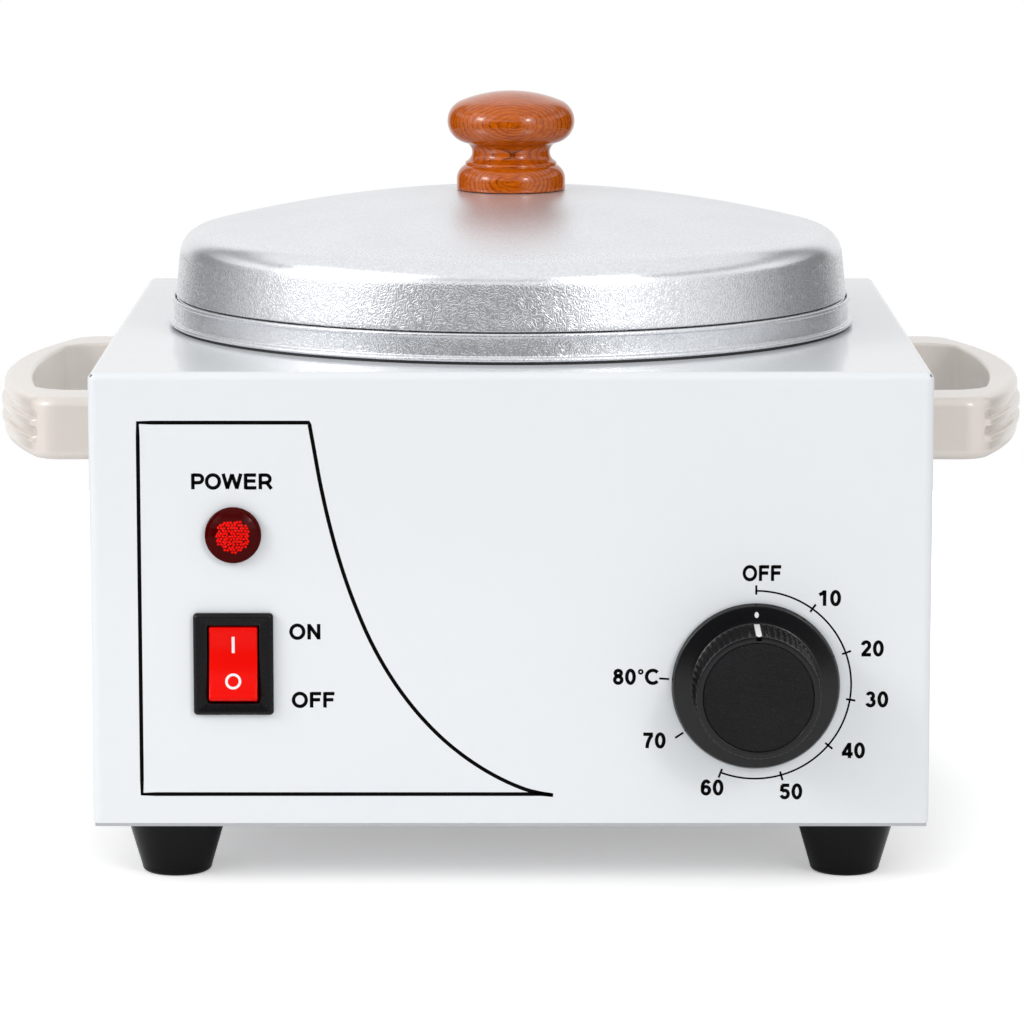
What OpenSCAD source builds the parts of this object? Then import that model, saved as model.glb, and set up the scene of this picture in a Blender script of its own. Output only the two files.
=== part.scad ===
// Counter-top wax warmer: an enamelled steel box on four feet, with a lift-out
// aluminium pot in a heated well, a domed lid with a turned wooden knob, a rocker
// switch, a pilot lamp and a thermostat dial. Millimetres, +Z up, front towards -Y.
// The origin is on the table, under the middle of the whole object.

/* [Box] */
// Width of the box, side to side
body_w = 230; // [224:1:260]
// Depth of the box, front to back
body_d = 230; // [224:1:260]
// Height of the enamelled box
body_h = 125; // [121:1:150]
// Thickness of the enamelled steel sheet
sheet_t = 1.2; // [0.8:0.1:1.6]
// Outer radius of the folded edges
bend_r = 2.2; // [1.8:0.1:4]
// Radius of the relief hole where three folds meet at a top corner
relief_r = 0.5; // [0.3:0.1:0.8]
// Width of the lip folded in along the bottom edge
lip_w = 32; // [30:1:36]
// Thickness of the base plate
plate_t = 1; // [0.8:0.1:2]
// Margin from the box's side to the base plate's edge
plate_margin = 0.6; // [0.2:0.1:2]
// Length of a vent slot in the base plate
vent_l = 34; // [20:1:40]
// Width of a vent slot
vent_w = 4; // [3:0.5:5]
// Number of vent slots in a row
vent_count = 5; // [3:1:5]
// Distance between neighbouring vent slots
vent_pitch = 10; // [8:0.5:11]

/* [Feet] */
// Height of a foot
foot_h = 17; // [14:1:30]
// Radius of a foot at the top
foot_top_r = 14.25; // [12:0.25:16]
// Radius of a foot where it stands
foot_low_r = 9.75; // [9:0.25:12]
// Distance from the box's sides to a foot's centre
foot_inset = 21.6; // [19:0.1:25]
// Rounding of a foot's lower edge
foot_edge_r = 1.5; // [0.5:0.1:2]
// Depth of the screw's recess in a foot
foot_recess = 5; // [4:0.5:8]

/* [Handles] */
// Length of a handle, front to back
handle_span = 142.6; // [120:1:160]
// Reach of a handle out of the box's side
handle_reach = 34.3; // [30:0.5:44]
// Height of a handle's section
handle_h = 17.6; // [15:0.1:22]
// Distance from the box's top to a handle's top
handle_drop = 13.1; // [10:0.1:25]
// Thickness of a handle's legs
handle_leg = 19.3; // [16:0.5:22]
// Thickness of the grip at its middle
handle_grip = 9.8; // [8:0.2:12]
// Rounding of a handle's outer edges
handle_edge_r = 2.6; // [1.5:0.1:3.6]
// Rounding of a handle's edges round the finger gap
handle_inner_r = 1.2; // [0.6:0.1:2.4]
// Squareness of a handle's outer outline
handle_outer_power = 3.4; // [2.4:0.1:5]
// Squareness of a handle's finger gap
handle_inner_power = 5; // [3:0.1:7]
// Height of a grip rib
rib_h = 2.2; // [1.6:0.1:2.6]
// Distance that a rib stands proud
rib_proud = 0.8; // [0.4:0.1:1.2]
// Distance from a handle's top to the upper rib's middle
rib_drop = 7.4; // [6:0.1:8]
// Distance between the two ribs
rib_pitch = 5; // [4:0.1:5.5]

/* [Pot and well] */
// Outer radius of the lift-out pot's wall
pot_r = 86; // [80:0.5:90]
// Depth of the pot below the box's top
pot_depth = 91.5; // [70:0.5:93]
// Thickness of the pot's wall
pot_t = 1.2; // [0.8:0.1:2]
// Inner bottom radius of the pot
pot_corner_r = 8; // [4:0.5:14]
// Gap between the pot and the well
pot_gap = 0.5; // [0.3:0.1:1]
// Thickness of the well's wall
well_t = 1.2; // [0.8:0.1:2]
// Width of the ledge from the well's mouth to the band
ledge_w = 12.4; // [10:0.2:14]
// Height of the ledge above the box's top
ledge_h = 7; // [6:0.1:12]
// Height of the seal under the well's rim
seal_t = 0.8; // [0.5:0.1:1.5]
// Reach of the band's flared foot beyond its face
flare = 1.5; // [1:0.1:2.5]
// Thickness of the rolled lip round the pot's rim
lip_t = 1; // [0.8:0.1:1.2]
// Gap between parts that lift off each other
seat_gap = 0.3; // [0.2:0.05:0.5]

/* [Bail] */
// Radius of the bail's wire
wire_r = 1.75; // [1.25:0.05:2]
// Distance from the pot's wall to the bail's middle line
bail_out = 5; // [4.6:0.1:6]
// Radius of the bend at each end of the bail
bail_bend_r = 2.6; // [2.2:0.1:3]
// Width of a bail ear
ear_w = 14; // [10:0.5:18]
// Thickness of a bail ear
ear_t = 1.5; // [1:0.1:2.5]
// Length of a bail ear below the pot's rim
ear_low = 17; // [12:1:26]

/* [Lid] */
// Height of the dome's middle above the box's top
lid_top_h = 39.3; // [36:0.1:46]
// Radius of the domed top
dome_r = 373; // [320:1:420]
// Radius of the lid's shoulder
shoulder_r = 8; // [5:0.5:10]
// Lean of the lid's skirt, in degrees
skirt_lean = 6.15; // [3:0.05:8]
// Distance that the lid's edge covers the lip past the pot's rim
lid_over = 0.2; // [0:0.1:0.4]
// Thickness of the lid's sheet
lid_t = 1.2; // [0.8:0.1:2]

/* [Lid knob] */
// Radius of the knob's cap
cap_r = 18.6; // [16:0.2:22]
// Rounding of the cap's edge
cap_edge_r = 6.4; // [5.4:0.1:7]
// Height of the knob
knob_h = 28.7; // [28:0.1:30]
// Height of the cap's widest point above the knob's seat
cap_mid_h = 19.9; // [19.2:0.1:20.8]
// Radius of the knob's base
knob_base_r = 15.9; // [15:0.1:17]
// Rounding of the base's shoulder
base_round_r = 4.8; // [4:0.1:5.2]
// Height of the base's upright side
base_side_h = 2.9; // [2:0.1:3.4]
// Radius of the knob's neck
neck_r = 11.4; // [10.6:0.1:11.8]
// Radius of the screw that holds the knob
knob_screw_r = 2; // [1.5:0.1:2.5]

/* [Rocker switch] */
// Distance from the box's left side to the switch's middle
switch_from_left = 39.1; // [36:0.1:60]
// Distance from the box's top to the switch's middle
switch_drop = 80.3; // [76:0.1:90]
// Width of the switch's bezel
bezel_w = 21.9; // [21:0.1:26]
// Height of the switch's bezel
bezel_h = 28.3; // [27:0.1:32]
// Distance that the bezel stands proud
bezel_t = 2; // [1.5:0.1:3]
// Width of the rocker
rocker_w = 13.2; // [11:0.1:13.6]
// Radius of the rocker's ends about its pin
rocker_r = 10.4; // [9:0.1:10.6]
// Travel of the rocker, in degrees
rocker_travel = 18; // [14:1:22]
// Height of the rocker's face above its pin
rocker_face = 2; // [1.5:0.1:2.6]
// Gap round the rocker
rocker_gap = 0.3; // [0.25:0.05:0.5]
// Depth of the switch's body behind the panel
switch_depth = 18; // [14:0.5:24]

/* [Pilot lamp] */
// Distance from the box's left side to the lamp's middle
lamp_from_left = 39.3; // [30:0.1:60]
// Distance from the box's top to the lamp's middle
lamp_drop = 44.5; // [40:0.1:50]
// Radius of the lamp's lens
lens_r = 7.7; // [7:0.1:10]
// Height of the lens above its collar
lens_h = 3; // [2:0.1:5]
// Outer radius of the lamp's barrel
barrel_r = 5.8; // [5:0.1:6.2]
// Length of the lamp's barrel behind the panel
barrel_l = 20; // [16:0.5:26]

/* [Thermostat and dial] */
// Distance from the box's right side to the dial's axis
dial_from_right = 48; // [42:0.5:60]
// Distance from the box's top to the dial's axis
dial_drop = 86.3; // [80:0.1:90]
// Radius of the dial's skirt
dial_skirt_r = 23.1; // [20:0.1:26]
// Distance from the panel to the front of the skirt
dial_skirt_out = 3; // [2.4:0.1:4]
// Radius of the dial's grip where it meets the skirt
grip_r = 17.7; // [16:0.1:19]
// Radius of the grip at the front
grip_front_r = 17; // [15.4:0.1:18]
// Distance from the panel to the dial's front
dial_reach = 18; // [16:0.5:24]
// Number of flutes round the grip
flute_count = 60; // [36:1:60]
// Depth of a flute
flute_d = 0.6; // [0.3:0.1:0.9]
// Radius of the dial's front insert
insert_r = 15; // [12:0.1:15.2]
// Wall thickness of the dial
dial_t = 1.8; // [1.2:0.1:2.4]
// Radius of the thermostat's shaft
shaft_r = 3; // [2.5:0.1:3.5]
// Radial running gap of the shaft and of the rocker's pins
running_gap = 0.05; // [0.03:0.01:0.08]
// Distance from the shaft to each fixing screw of the thermostat
stat_screw_x = 11; // [10.5:0.1:12]
// Width of the thermostat's body
stat_w = 34; // [30:0.5:36]
// Height of the thermostat's body
stat_h = 38; // [34:0.5:40]
// Depth of the thermostat's body
stat_d = 15; // [12:0.5:17]

/* [Heating and wiring] */
// Height of the heater band
heater_h = 50; // [40:1:56]
// Distance from the box's top to the heater band's top
heater_drop = 22; // [18:1:26]
// Thickness of the heater band
heater_t = 1.8; // [1:0.1:2.4]
// Thickness of the insulation blanket
blanket_t = 7; // [5:0.5:8]
// Radius of the pillar under the well
pillar_r = 6; // [5:0.5:8]
// Radius of the tie rod
rod_r = 2.5; // [2:0.1:3]
// Radius of the temperature sensor
sensor_r = 3; // [2.5:0.1:3.4]
// Length of the temperature sensor
sensor_l = 60; // [40:1:70]
// Outer radius of a wire
lead_r = 1.1; // [0.8:0.1:1.3]
// Distance from the box's right side to the cord gland's axis
gland_from_right = 40; // [34:1:60]
// Height of the cord gland's axis above the base plate
gland_rise = 25; // [20:1:34]
// Radius of the cord gland's bore
gland_bore_r = 3.6; // [3:0.1:4]
// Reach of the cord gland out of the rear panel
gland_reach = 8; // [5:0.5:14]

/* [Fasteners] */
// Radius of the foot and terminal screws
screw_r = 2; // [1.5:0.1:2.2]
// Radial room round a screw in a sheet
screw_room = 0.25; // [0.1:0.05:0.4]
// Radius of a screw's head
head_r = 3.8; // [3.4:0.1:4.2]
// Height of a screw's head
head_h = 2.4; // [1.8:0.1:3]
// Height of a hexagon nut
nut_h = 3.2; // [2.4:0.1:4]

/* [Hidden] */
$fn = 96;

eps = 0.02;
over = 1;
round_fn = 32;
half_w = body_w / 2;
half_d = body_d / 2;
top_z = foot_h + plate_t + body_h;
box_z = foot_h + plate_t;
plate_top = box_z;
centre_y = (dial_reach - gland_reach) / 2;
front_in = -half_d + sheet_t;
rear_in = half_d - sheet_t;
foot_x = half_w - foot_inset;
foot_y = half_d - foot_inset;

// Spun parts, as radii and as heights above the box's top
well_in_r = pot_r + pot_gap;
well_out_r = well_in_r + well_t;
band_r = well_in_r + ledge_w;
flare_r = band_r + flare;
rim_r = band_r - lip_t / 2 - seat_gap;
rim_low = ledge_h + seat_gap;
rim_top = rim_low + pot_t;
well_floor = -pot_depth - pot_gap - well_t;
heater_r = well_out_r + heater_t;
blanket_r = heater_r + blanket_t;
hole_r = blanket_r - blanket_t + 3;
heater_low = -heater_drop - heater_h;
gap_angle = 135;
gap_half = 2.6;
ear_plate_t = 1.4;
post_angle = 45;
post_step = 7;
post_r = 2;
post_end = blanket_r + 3;
clamp_bolt_r = heater_r + 5;

// Handles
handle_steps = 32;
corner_steps = 3;
handle_low = top_z - handle_drop - handle_h;
rib_end = 66;

// Bail
bail_r = pot_r + bail_out;
bail_z = rim_top + seat_gap + wire_r;
bail_elbow_x = sqrt(pow(bail_r - bail_bend_r, 2) - pow(bail_bend_r, 2));
bail_start = asin(bail_bend_r / (bail_r - bail_bend_r));
ear_out_r = pot_r - pot_t - eps;
ear_in_r = ear_out_r - ear_t;
ear_top = bail_z + wire_r + 2.4;
peen_r = wire_r + 0.9;
peen_t = 1.2;
bend_more = 6;

// Lid: the shoulder's arc runs into both the dome and the leaning skirt
touch = 0.01;
lid_r = rim_r + lid_over;
lid_low = rim_top + seat_gap;
dome_c = lid_top_h - dome_r;
skirt_dir = [-sin(skirt_lean), cos(skirt_lean)];
skirt_in = [-cos(skirt_lean), -sin(skirt_lean)];
shoulder_base = [lid_r, lid_low - dome_c] + shoulder_r * skirt_in;
shoulder_b = shoulder_base * skirt_dir;
shoulder_q = shoulder_base * shoulder_base - pow(dome_r - shoulder_r + touch, 2);
shoulder_s = -shoulder_b + sqrt(pow(shoulder_b, 2) - shoulder_q);
shoulder_c = shoulder_base + shoulder_s * skirt_dir + [0, dome_c];

// Turned knob, drawn up from its seat: each circle runs into the next one
knob_recess = 1;
knob_recess_r = 11;
knob_seat = dome_c + sqrt(pow(dome_r, 2) - pow(knob_recess_r, 2)) + 0.03;
knob_bore_l = 15;
bead_r = 1.1;
bead_x = neck_r + 0.9;
neck_h = 10.8;
cap_c = [cap_r - cap_edge_r, cap_mid_h];
edge_q = cap_edge_r - touch;
cap_drop = knob_h - cap_mid_h;
cap_dome_r = (pow(cap_c[0], 2) + pow(cap_drop, 2) - pow(edge_q, 2)) / (2 * (cap_drop - edge_q));
cap_dir = unit(cap_c - [0, knob_h - cap_dome_r]);
neck_dx = cap_c[0] - neck_r;
neck_arc = (pow(neck_dx, 2) + pow(cap_mid_h - neck_h, 2) - pow(edge_q, 2)) / (2 * (edge_q + neck_dx));
neck_c = [neck_r + neck_arc, neck_h];
neck_top = neck_c + neck_arc * unit(cap_c - neck_c);
bead_c = [bead_x, neck_h - sqrt(pow(neck_arc + bead_r - touch, 2) - pow(neck_c[0] - bead_x, 2))];

// Rocker switch
switch_x = -half_w + switch_from_left;
switch_z = top_z - switch_drop;
pin_out = bezel_t - 0.2 - rocker_face;
pin_y = -half_d - pin_out;
rocker_back = 2.4;
pin_r = 1.2;
pin_l = 1.4;
aperture_w = rocker_w + 2 * rocker_gap + 0.3;
aperture_h = 2 * (rocker_r + rocker_gap);
cutout_w = aperture_w + 4.2;
cutout_h = aperture_h + 4;
rocker_tilt = rocker_travel / 2;
rocker_reach = rocker_r * cos(asin(rocker_face / rocker_r));
rocker_face_r = rocker_reach / sin(2 * rocker_tilt);
finger_l = 6.6;
finger_half = 1.4;
cavity_d = rocker_back + rocker_r * sin(rocker_tilt) + rocker_gap;
slot_half = finger_half + finger_l * sin(rocker_tilt) + rocker_gap;
blade_w = 4.8;
blade_t = 0.8;
blade_l = 8;
blade_x = 4.5;
blade_z = 6.5;
switch_back = -half_d + switch_depth;
blade_end = switch_back + blade_l;

// Pilot lamp
lamp_x = -half_w + lamp_from_left;
lamp_z = top_z - lamp_drop;
collar_t = 0.8;
barrel_t = 0.9;
barrel_floor = 1.5;
lamp_back = -half_d + barrel_l;
bulb_r = 2;
bulb_l = 10;

// Thermostat and dial
dial_x = half_w - dial_from_right;
dial_z = top_z - dial_drop;
bracket_t = 1.2;
bracket_h = 24;
stat_front = front_in + bracket_t;
stat_back = stat_front + stat_d;
boss_r = shaft_r + 1.8;
stat_tab_x = 8;
stat_tab_up = 6;
hub_r = shaft_r + 2.5;
skirt_back = 1;
hub_z = 2.8;
front_wall = 3;
insert_t = 1;
shaft_in = 10;
shaft_out = dial_reach - front_wall - 1;
flat_in = 0.6;

// Things under the well
floor_z = top_z + well_floor;
clip_t = 1;
clip_w = 16;
sensor_x = 30;
sensor_z = floor_z - sensor_r - eps;
clip_top = floor_z - 2 * sensor_r - 2 * eps;
cutout_r = 8;
tab_l = 6;
tab_z = clip_top + 1.6;

// Rear
gland_x = half_w - gland_from_right;
gland_z = plate_top + gland_rise;
gland_neck_r = gland_bore_r + 2.7;
block_w = 32;
block_d = 18;
block_h = 17;
block_x = gland_x - 34;
block_y = half_d - lip_w - 2 - block_d;
clamp_pitch = 10;
clamp_r = 1.85;
clamp_z = plate_top + 10;
earth_x = block_x + 36;
earth_y = block_y - 14;
lug_t = 0.8;
lug_l = 14;
lane_low = plate_top + 6;
lane_high = floor_z - 12;
lane_round = max(lane_high, clamp_z + 2 * lead_r + 3);

function unit(v) = v / norm(v);
function clampv(v, lo, hi) = max(lo, min(hi, v));

// Points of an arc about c, from angle a to angle b
function arc(c, r, a, b, n) = [for (i = [0 : n]) c + r * [cos(a + (b - a) * i / n),
    sin(a + (b - a) * i / n)]];

// A smooth curve through the points p, with k steps between neighbours
function curve_at(a, b, c, d, t) = 0.5 * (2 * b + (c - a) * t + (2 * a - 5 * b + 4 * c - d) * t * t
    + (3 * b - a - 3 * c + d) * t * t * t);
function curve(p, k) = [for (i = [0 : len(p) - 2]) for (j = [0 : k - 1])
    curve_at(p[max(i - 1, 0)], p[i], p[i + 1], p[min(i + 2, len(p) - 1)], j / k), p[len(p) - 1]];
function tangents(p) = [for (i = [0 : len(p) - 1]) unit(p[min(i + 1, len(p) - 1)] - p[max(i - 1, 0)])];
function ends_square(t, p, q) = [for (i = [0 : len(t) - 1])
    i == 0 ? unit(q[1] - q[0]) : i == len(t) - 1 ? unit(q[len(q) - 1] - q[len(q) - 2]) : t[i]];
function carried(t, i, n) = i >= len(t) ? [] :
    let (m = unit(n - (n * t[i]) * t[i])) concat([m], carried(t, i + 1, m));

// Faces of a closed sweep: rings of m points, n rings, with both ends capped
function skin(n, m) = concat(
    [for (i = [0 : n - 2]) for (j = [0 : m - 1]) [i * m + j, i * m + (j + 1) % m, (i + 1) * m + j]],
    [for (i = [0 : n - 2]) for (j = [0 : m - 1])
        [i * m + (j + 1) % m, (i + 1) * m + (j + 1) % m, (i + 1) * m + j]],
    [[for (j = [m - 1 : -1 : 0]) j], [for (j = [0 : m - 1]) (n - 1) * m + j]]);

// A round lead of radius r through the points q
module lead(q, r = lead_r, sides = 6, k = 4) {
    p = curve(q, k);
    t = ends_square(tangents(p), p, q);
    side = abs(t[0][2]) < 0.9 ? [0, 0, 1] : [1, 0, 0];
    nrm = carried(t, 0, side);
    pts = [for (i = [0 : len(p) - 1]) for (j = [0 : sides - 1])
        p[i] + r * cos(360 * j / sides) * nrm[i] + r * sin(360 * j / sides) * cross(nrm[i], t[i])];
    polyhedron(pts, skin(len(p), sides), convexity = 6);
}

module at_box() translate([0, centre_y, 0]) children();
module at_top() translate([0, centre_y, top_z]) children();
// Drawn facing up, laid so that up points out of the front panel
module on_front(x, z) translate([x, centre_y - half_d, z]) rotate([90, 0, 0]) children();
module corners(x, y) for (i = [-1, 1]) for (j = [-1, 1]) translate([i * x, j * y, 0]) children();
// Small holes through the rounded corners, drilled out from the centre of each rounding
module reliefs() for (i = [-1, 1]) for (j = [-1, 1])
    translate([i * (half_w - bend_r), j * (half_d - bend_r), -bend_r])
    rotate([0, 0, atan2(j, i)]) rotate([0, acos(1 / sqrt(3)), 0]) translate([0, 0, bend_r - sheet_t - over])
        cylinder(r = relief_r, h = sheet_t + 2 * over, $fn = round_fn);
module ring(r_out, r_in, h) difference() {
    cylinder(r = r_out, h = h);
    translate([0, 0, -over]) cylinder(r = r_in, h = h + 2 * over);
}
module hexagon(h, r = screw_r) cylinder(r = r * 2.02, h = h, $fn = 6);
module nut(h, r = screw_r) difference() {
    hexagon(h, r);
    translate([0, 0, -over]) cylinder(r = r + eps, h = h + 2 * over);
}
// Pan-head screw: the head stands on z = 0, the shank hangs below
module screw(l, r = screw_r, hr = head_r, hh = head_h) {
    rotate_extrude() {
        intersection() {
            square([hr, hh]);
            translate([0, -hr * 1.2]) circle(hh + hr * 1.2);
        }
        translate([0, -l]) square([r, l + hh / 2]);
    }
}
// Half profile of a round vessel that hangs down from z = 0
module cup_half(r, depth, corner) {
    translate([0, -depth]) square([r - corner, depth]);
    translate([0, corner - depth]) square([r, depth - corner]);
    translate([r - corner, corner - depth]) circle(corner);
}

// Box with all upper and upright edges folded to the radius r
module folded_box(w, d, h, r) {
    translate([-w / 2 + r, -d / 2 + r, 0]) cube([w - 2 * r, d - 2 * r, h]);
    translate([-w / 2, -d / 2 + r, 0]) cube([w, d - 2 * r, h - r]);
    translate([-w / 2 + r, -d / 2, 0]) cube([w - 2 * r, d, h - r]);
    corners(w / 2 - r, d / 2 - r) {
        cylinder(r = r, h = h - r, $fn = round_fn);
        translate([0, 0, h - r]) sphere(r, $fn = round_fn);
    }
    for (s = [-1, 1]) {
        translate([-w / 2 + r, s * (d / 2 - r), h - r]) rotate([0, 90, 0])
            cylinder(r = r, h = w - 2 * r, $fn = round_fn);
        translate([s * (w / 2 - r), -d / 2 + r, h - r]) rotate([-90, 0, 0])
            cylinder(r = r, h = d - 2 * r, $fn = round_fn);
    }
}

module housing_shell() color("white") difference() {
    translate([0, centre_y, box_z]) difference() {
        folded_box(body_w, body_d, body_h, bend_r);
        translate([0, 0, sheet_t]) folded_box(body_w - 2 * sheet_t, body_d - 2 * sheet_t,
            body_h - 2 * sheet_t, bend_r - sheet_t);
        translate([-half_w + lip_w, -half_d + lip_w, -over])
            cube([body_w - 2 * lip_w, body_d - 2 * lip_w, sheet_t + 2 * over]);
        corners(foot_x, foot_y) translate([0, 0, -over])
            cylinder(r = screw_r + screw_room, h = sheet_t + 2 * over);
    }
    at_top() reliefs();
    at_top() translate([0, 0, -sheet_t - over]) cylinder(r = hole_r, h = sheet_t + 2 * over);
    on_front(switch_x, switch_z) translate([-cutout_w / 2, -cutout_h / 2, -sheet_t - over])
        cube([cutout_w, cutout_h, sheet_t + 2 * over]);
    on_front(lamp_x, lamp_z) translate([0, 0, -sheet_t - over])
        cylinder(r = barrel_r + 0.1, h = sheet_t + 2 * over);
    on_front(dial_x, dial_z) {
        translate([0, 0, -sheet_t - over]) cylinder(r = boss_r + 0.2, h = sheet_t + 2 * over);
        for (s = [-1, 1]) translate([s * stat_screw_x, 0, -sheet_t - over])
            cylinder(r = screw_r + screw_room, h = sheet_t + 2 * over);
    }
    translate([gland_x, centre_y + rear_in - over, gland_z]) rotate([-90, 0, 0])
        cylinder(r = gland_neck_r + 0.1, h = sheet_t + 2 * over);
    handle_points() translate([0, 0, -sheet_t - over])
        cylinder(r = screw_r + screw_room, h = sheet_t + 2 * over);
}

module vent_slot() {
    translate([-vent_l / 2 + vent_w / 2, -vent_w / 2, 0])
        cube([vent_l - vent_w, vent_w, plate_t + 2 * over]);
    for (s = [-1, 1]) translate([s * (vent_l - vent_w) / 2, 0, 0])
        cylinder(r = vent_w / 2, h = plate_t + 2 * over);
}

module base_plate() color("silver") translate([0, centre_y, foot_h]) difference() {
    translate([-half_w + plate_margin, -half_d + plate_margin, 0])
        cube([body_w - 2 * plate_margin, body_d - 2 * plate_margin, plate_t]);
    translate([0, 0, -over]) {
        corners(foot_x, foot_y) cylinder(r = screw_r + screw_room, h = plate_t + 2 * over);
        cylinder(r = rod_r + screw_room, h = plate_t + 2 * over);
        for (s = [-1, 1]) for (i = [0 : vent_count - 1])
            translate([s * 45, (i - (vent_count - 1) / 2) * vent_pitch, 0]) vent_slot();
        for (s = [-1, 1]) translate([block_x + s * clamp_pitch / 2, block_y + block_d / 2, 0])
            cylinder(r = 1.5 + screw_room, h = plate_t + 2 * over);
        translate([earth_x, earth_y, 0]) cylinder(r = screw_r + screw_room, h = plate_t + 2 * over);
    }
}

module foot(i, j) color("black") translate([i * foot_x, centre_y + j * foot_y, 0]) difference() {
    rotate_extrude() {
        polygon([[0, 0], [foot_low_r - foot_edge_r, 0], [foot_low_r, foot_edge_r], [foot_top_r, foot_h],
            [0, foot_h]]);
        translate([foot_low_r - foot_edge_r, foot_edge_r]) circle(foot_edge_r);
    }
    translate([0, 0, -over]) cylinder(r = head_r + 1, h = foot_recess + over);
    cylinder(r = screw_r + screw_room, h = foot_h + over);
}
module foot_front_left() foot(-1, -1);
module foot_front_right() foot(1, -1);
module foot_rear_left() foot(-1, 1);
module foot_rear_right() foot(1, 1);

module foot_screws() color("silver") at_box() corners(foot_x, foot_y)
    translate([0, 0, foot_recess]) mirror([0, 0, 1]) screw(box_z + sheet_t + nut_h + 1 - foot_recess);

module foot_nuts() color("silver") at_box() corners(foot_x, foot_y)
    translate([0, 0, box_z + sheet_t]) nut(nut_h);

// Handle: a rounded section carried round between two squared ellipses
function squared(a, b, p, f) = [a * pow(abs(cos(f)), 2 / p), sign(f) * b * pow(abs(sin(f)), 2 / p)];
function rib_side(len, up, e) = [[len, up - rib_h / 2], [len + rib_proud * e * 0.8, up - rib_h * 0.3],
    [len + rib_proud * e, up], [len + rib_proud * e * 0.8, up + rib_h * 0.3], [len, up + rib_h / 2]];
function handle_section(len, e) = let (r = handle_edge_r, q = handle_inner_r) concat(
    arc([q, q], q, 180, 270, corner_steps), arc([len - r, r], r, 270, 360, corner_steps),
    rib_side(len, handle_h - rib_drop - rib_pitch, e), rib_side(len, handle_h - rib_drop, e),
    arc([len - r, handle_h - r], r, 0, 90, corner_steps), arc([q, handle_h - q], q, 90, 180, corner_steps));
function handle_ring(f) = let (
    out = squared(handle_reach - rib_proud, handle_span / 2, handle_outer_power, f),
    inn = squared(handle_reach - rib_proud - handle_grip, handle_span / 2 - handle_leg, handle_inner_power,
        f),
    along = unit(out - inn), e = clampv((rib_end - abs(f)) / 5, 0, 1))
    [for (q = handle_section(norm(out - inn), e)) let (p = inn + along * q[0]) [half_w + p[0], p[1],
        handle_low + q[1]]];

module handle_points() for (s = [-1, 1]) for (j = [-1, 1])
    translate([s * half_w, centre_y + j * (handle_span - handle_leg) / 2, handle_low + handle_h / 2])
        rotate([0, s * 90, 0]) children();

module handle_body() difference() {
    rings = [for (i = [0 : handle_steps]) handle_ring(-90 + 180 * i / handle_steps)];
    translate([0, centre_y, 0]) polyhedron([for (g = rings) each g], skin(len(rings), len(rings[0])),
        convexity = 8);
    for (j = [-1, 1])
        translate([half_w - over, centre_y + j * (handle_span - handle_leg) / 2, handle_low + handle_h / 2])
        rotate([0, 90, 0]) cylinder(r = screw_r + eps, h = 13 + over);
}
module handle_right() color("linen") handle_body();
module handle_left() color("linen") mirror([1, 0, 0]) handle_body();

module handle_screws() color("silver") handle_points()
    translate([0, 0, -sheet_t]) mirror([0, 0, 1]) screw(12 + sheet_t);

module rim_seal() color("black") at_top() ring(band_r + 0.6, hole_r + 0.6, seal_t);

module heating_well() color("silver") at_top() rotate_extrude() {
    translate([0, ledge_h]) difference() {
        cup_half(well_out_r, ledge_h - well_floor, pot_corner_r + well_t);
        translate([0, over]) cup_half(well_in_r, ledge_h - well_floor - well_t + over, pot_corner_r);
    }
    difference() {
        translate([well_in_r, seal_t]) square([ledge_w, ledge_h - seal_t]);
        translate([well_in_r, seal_t - over]) square([ledge_w - well_t, ledge_h - seal_t - well_t + over]);
    }
    translate([band_r - well_t / 2, seal_t]) square([flare, well_t]);
    translate([flare_r - well_t / 2, seal_t + well_t / 2]) circle(well_t / 2, $fn = round_fn);
    translate([band_r - lip_t / 2, ledge_h - well_t])
        square([lip_t / 2, rim_top - lip_t / 2 - ledge_h + well_t]);
    translate([band_r, rim_top - lip_t / 2]) circle(lip_t / 2, $fn = round_fn);
}

module well_pillar() color("silver") translate([0, centre_y, plate_top])
    ring(pillar_r, rod_r + screw_room, floor_z - clip_t - plate_top);

module tie_rod() color("silver") translate([0, centre_y, foot_h - nut_h - 2])
    cylinder(r = rod_r, h = floor_z - foot_h + nut_h + 2);

module tie_nut() color("silver") translate([0, centre_y, foot_h]) mirror([0, 0, 1]) {
    ring(rod_r * 2.4, rod_r + eps, 1);
    translate([0, 0, 1 + eps]) nut(nut_h, rod_r);
}

// Direction that points out from the well's axis at an angle, at a height
module out_at(a, z) translate([0, centre_y, top_z + z]) rotate([0, 0, a]) rotate([0, 90, 0]) children();

module heater_band() color("silver") {
    translate([0, centre_y, top_z + heater_low]) rotate([0, 0, gap_angle + gap_half])
        rotate_extrude(angle = 360 - 2 * gap_half) translate([well_out_r + 0.05, 0])
            square([heater_t, heater_h]);
    translate([0, centre_y, top_z + heater_low]) rotate([0, 0, gap_angle]) difference() {
        for (s = [0, 1]) mirror([0, s, 0])
            translate([well_out_r + heater_t / 2, tan(gap_half) * well_out_r, heater_h / 2 - 8])
            cube([heater_t / 2 + blanket_t + 4, ear_plate_t, 16]);
        translate([clamp_bolt_r, 20, heater_h / 2]) rotate([90, 0, 0])
            cylinder(r = screw_r + screw_room, h = 40);
    }
    for (s = [-1, 1]) out_at(post_angle + s * post_step, -heater_drop - heater_h / 2)
        translate([0, 0, heater_r - heater_t / 2])
            cylinder(r = post_r, h = post_end - heater_r + heater_t / 2);
}

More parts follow.
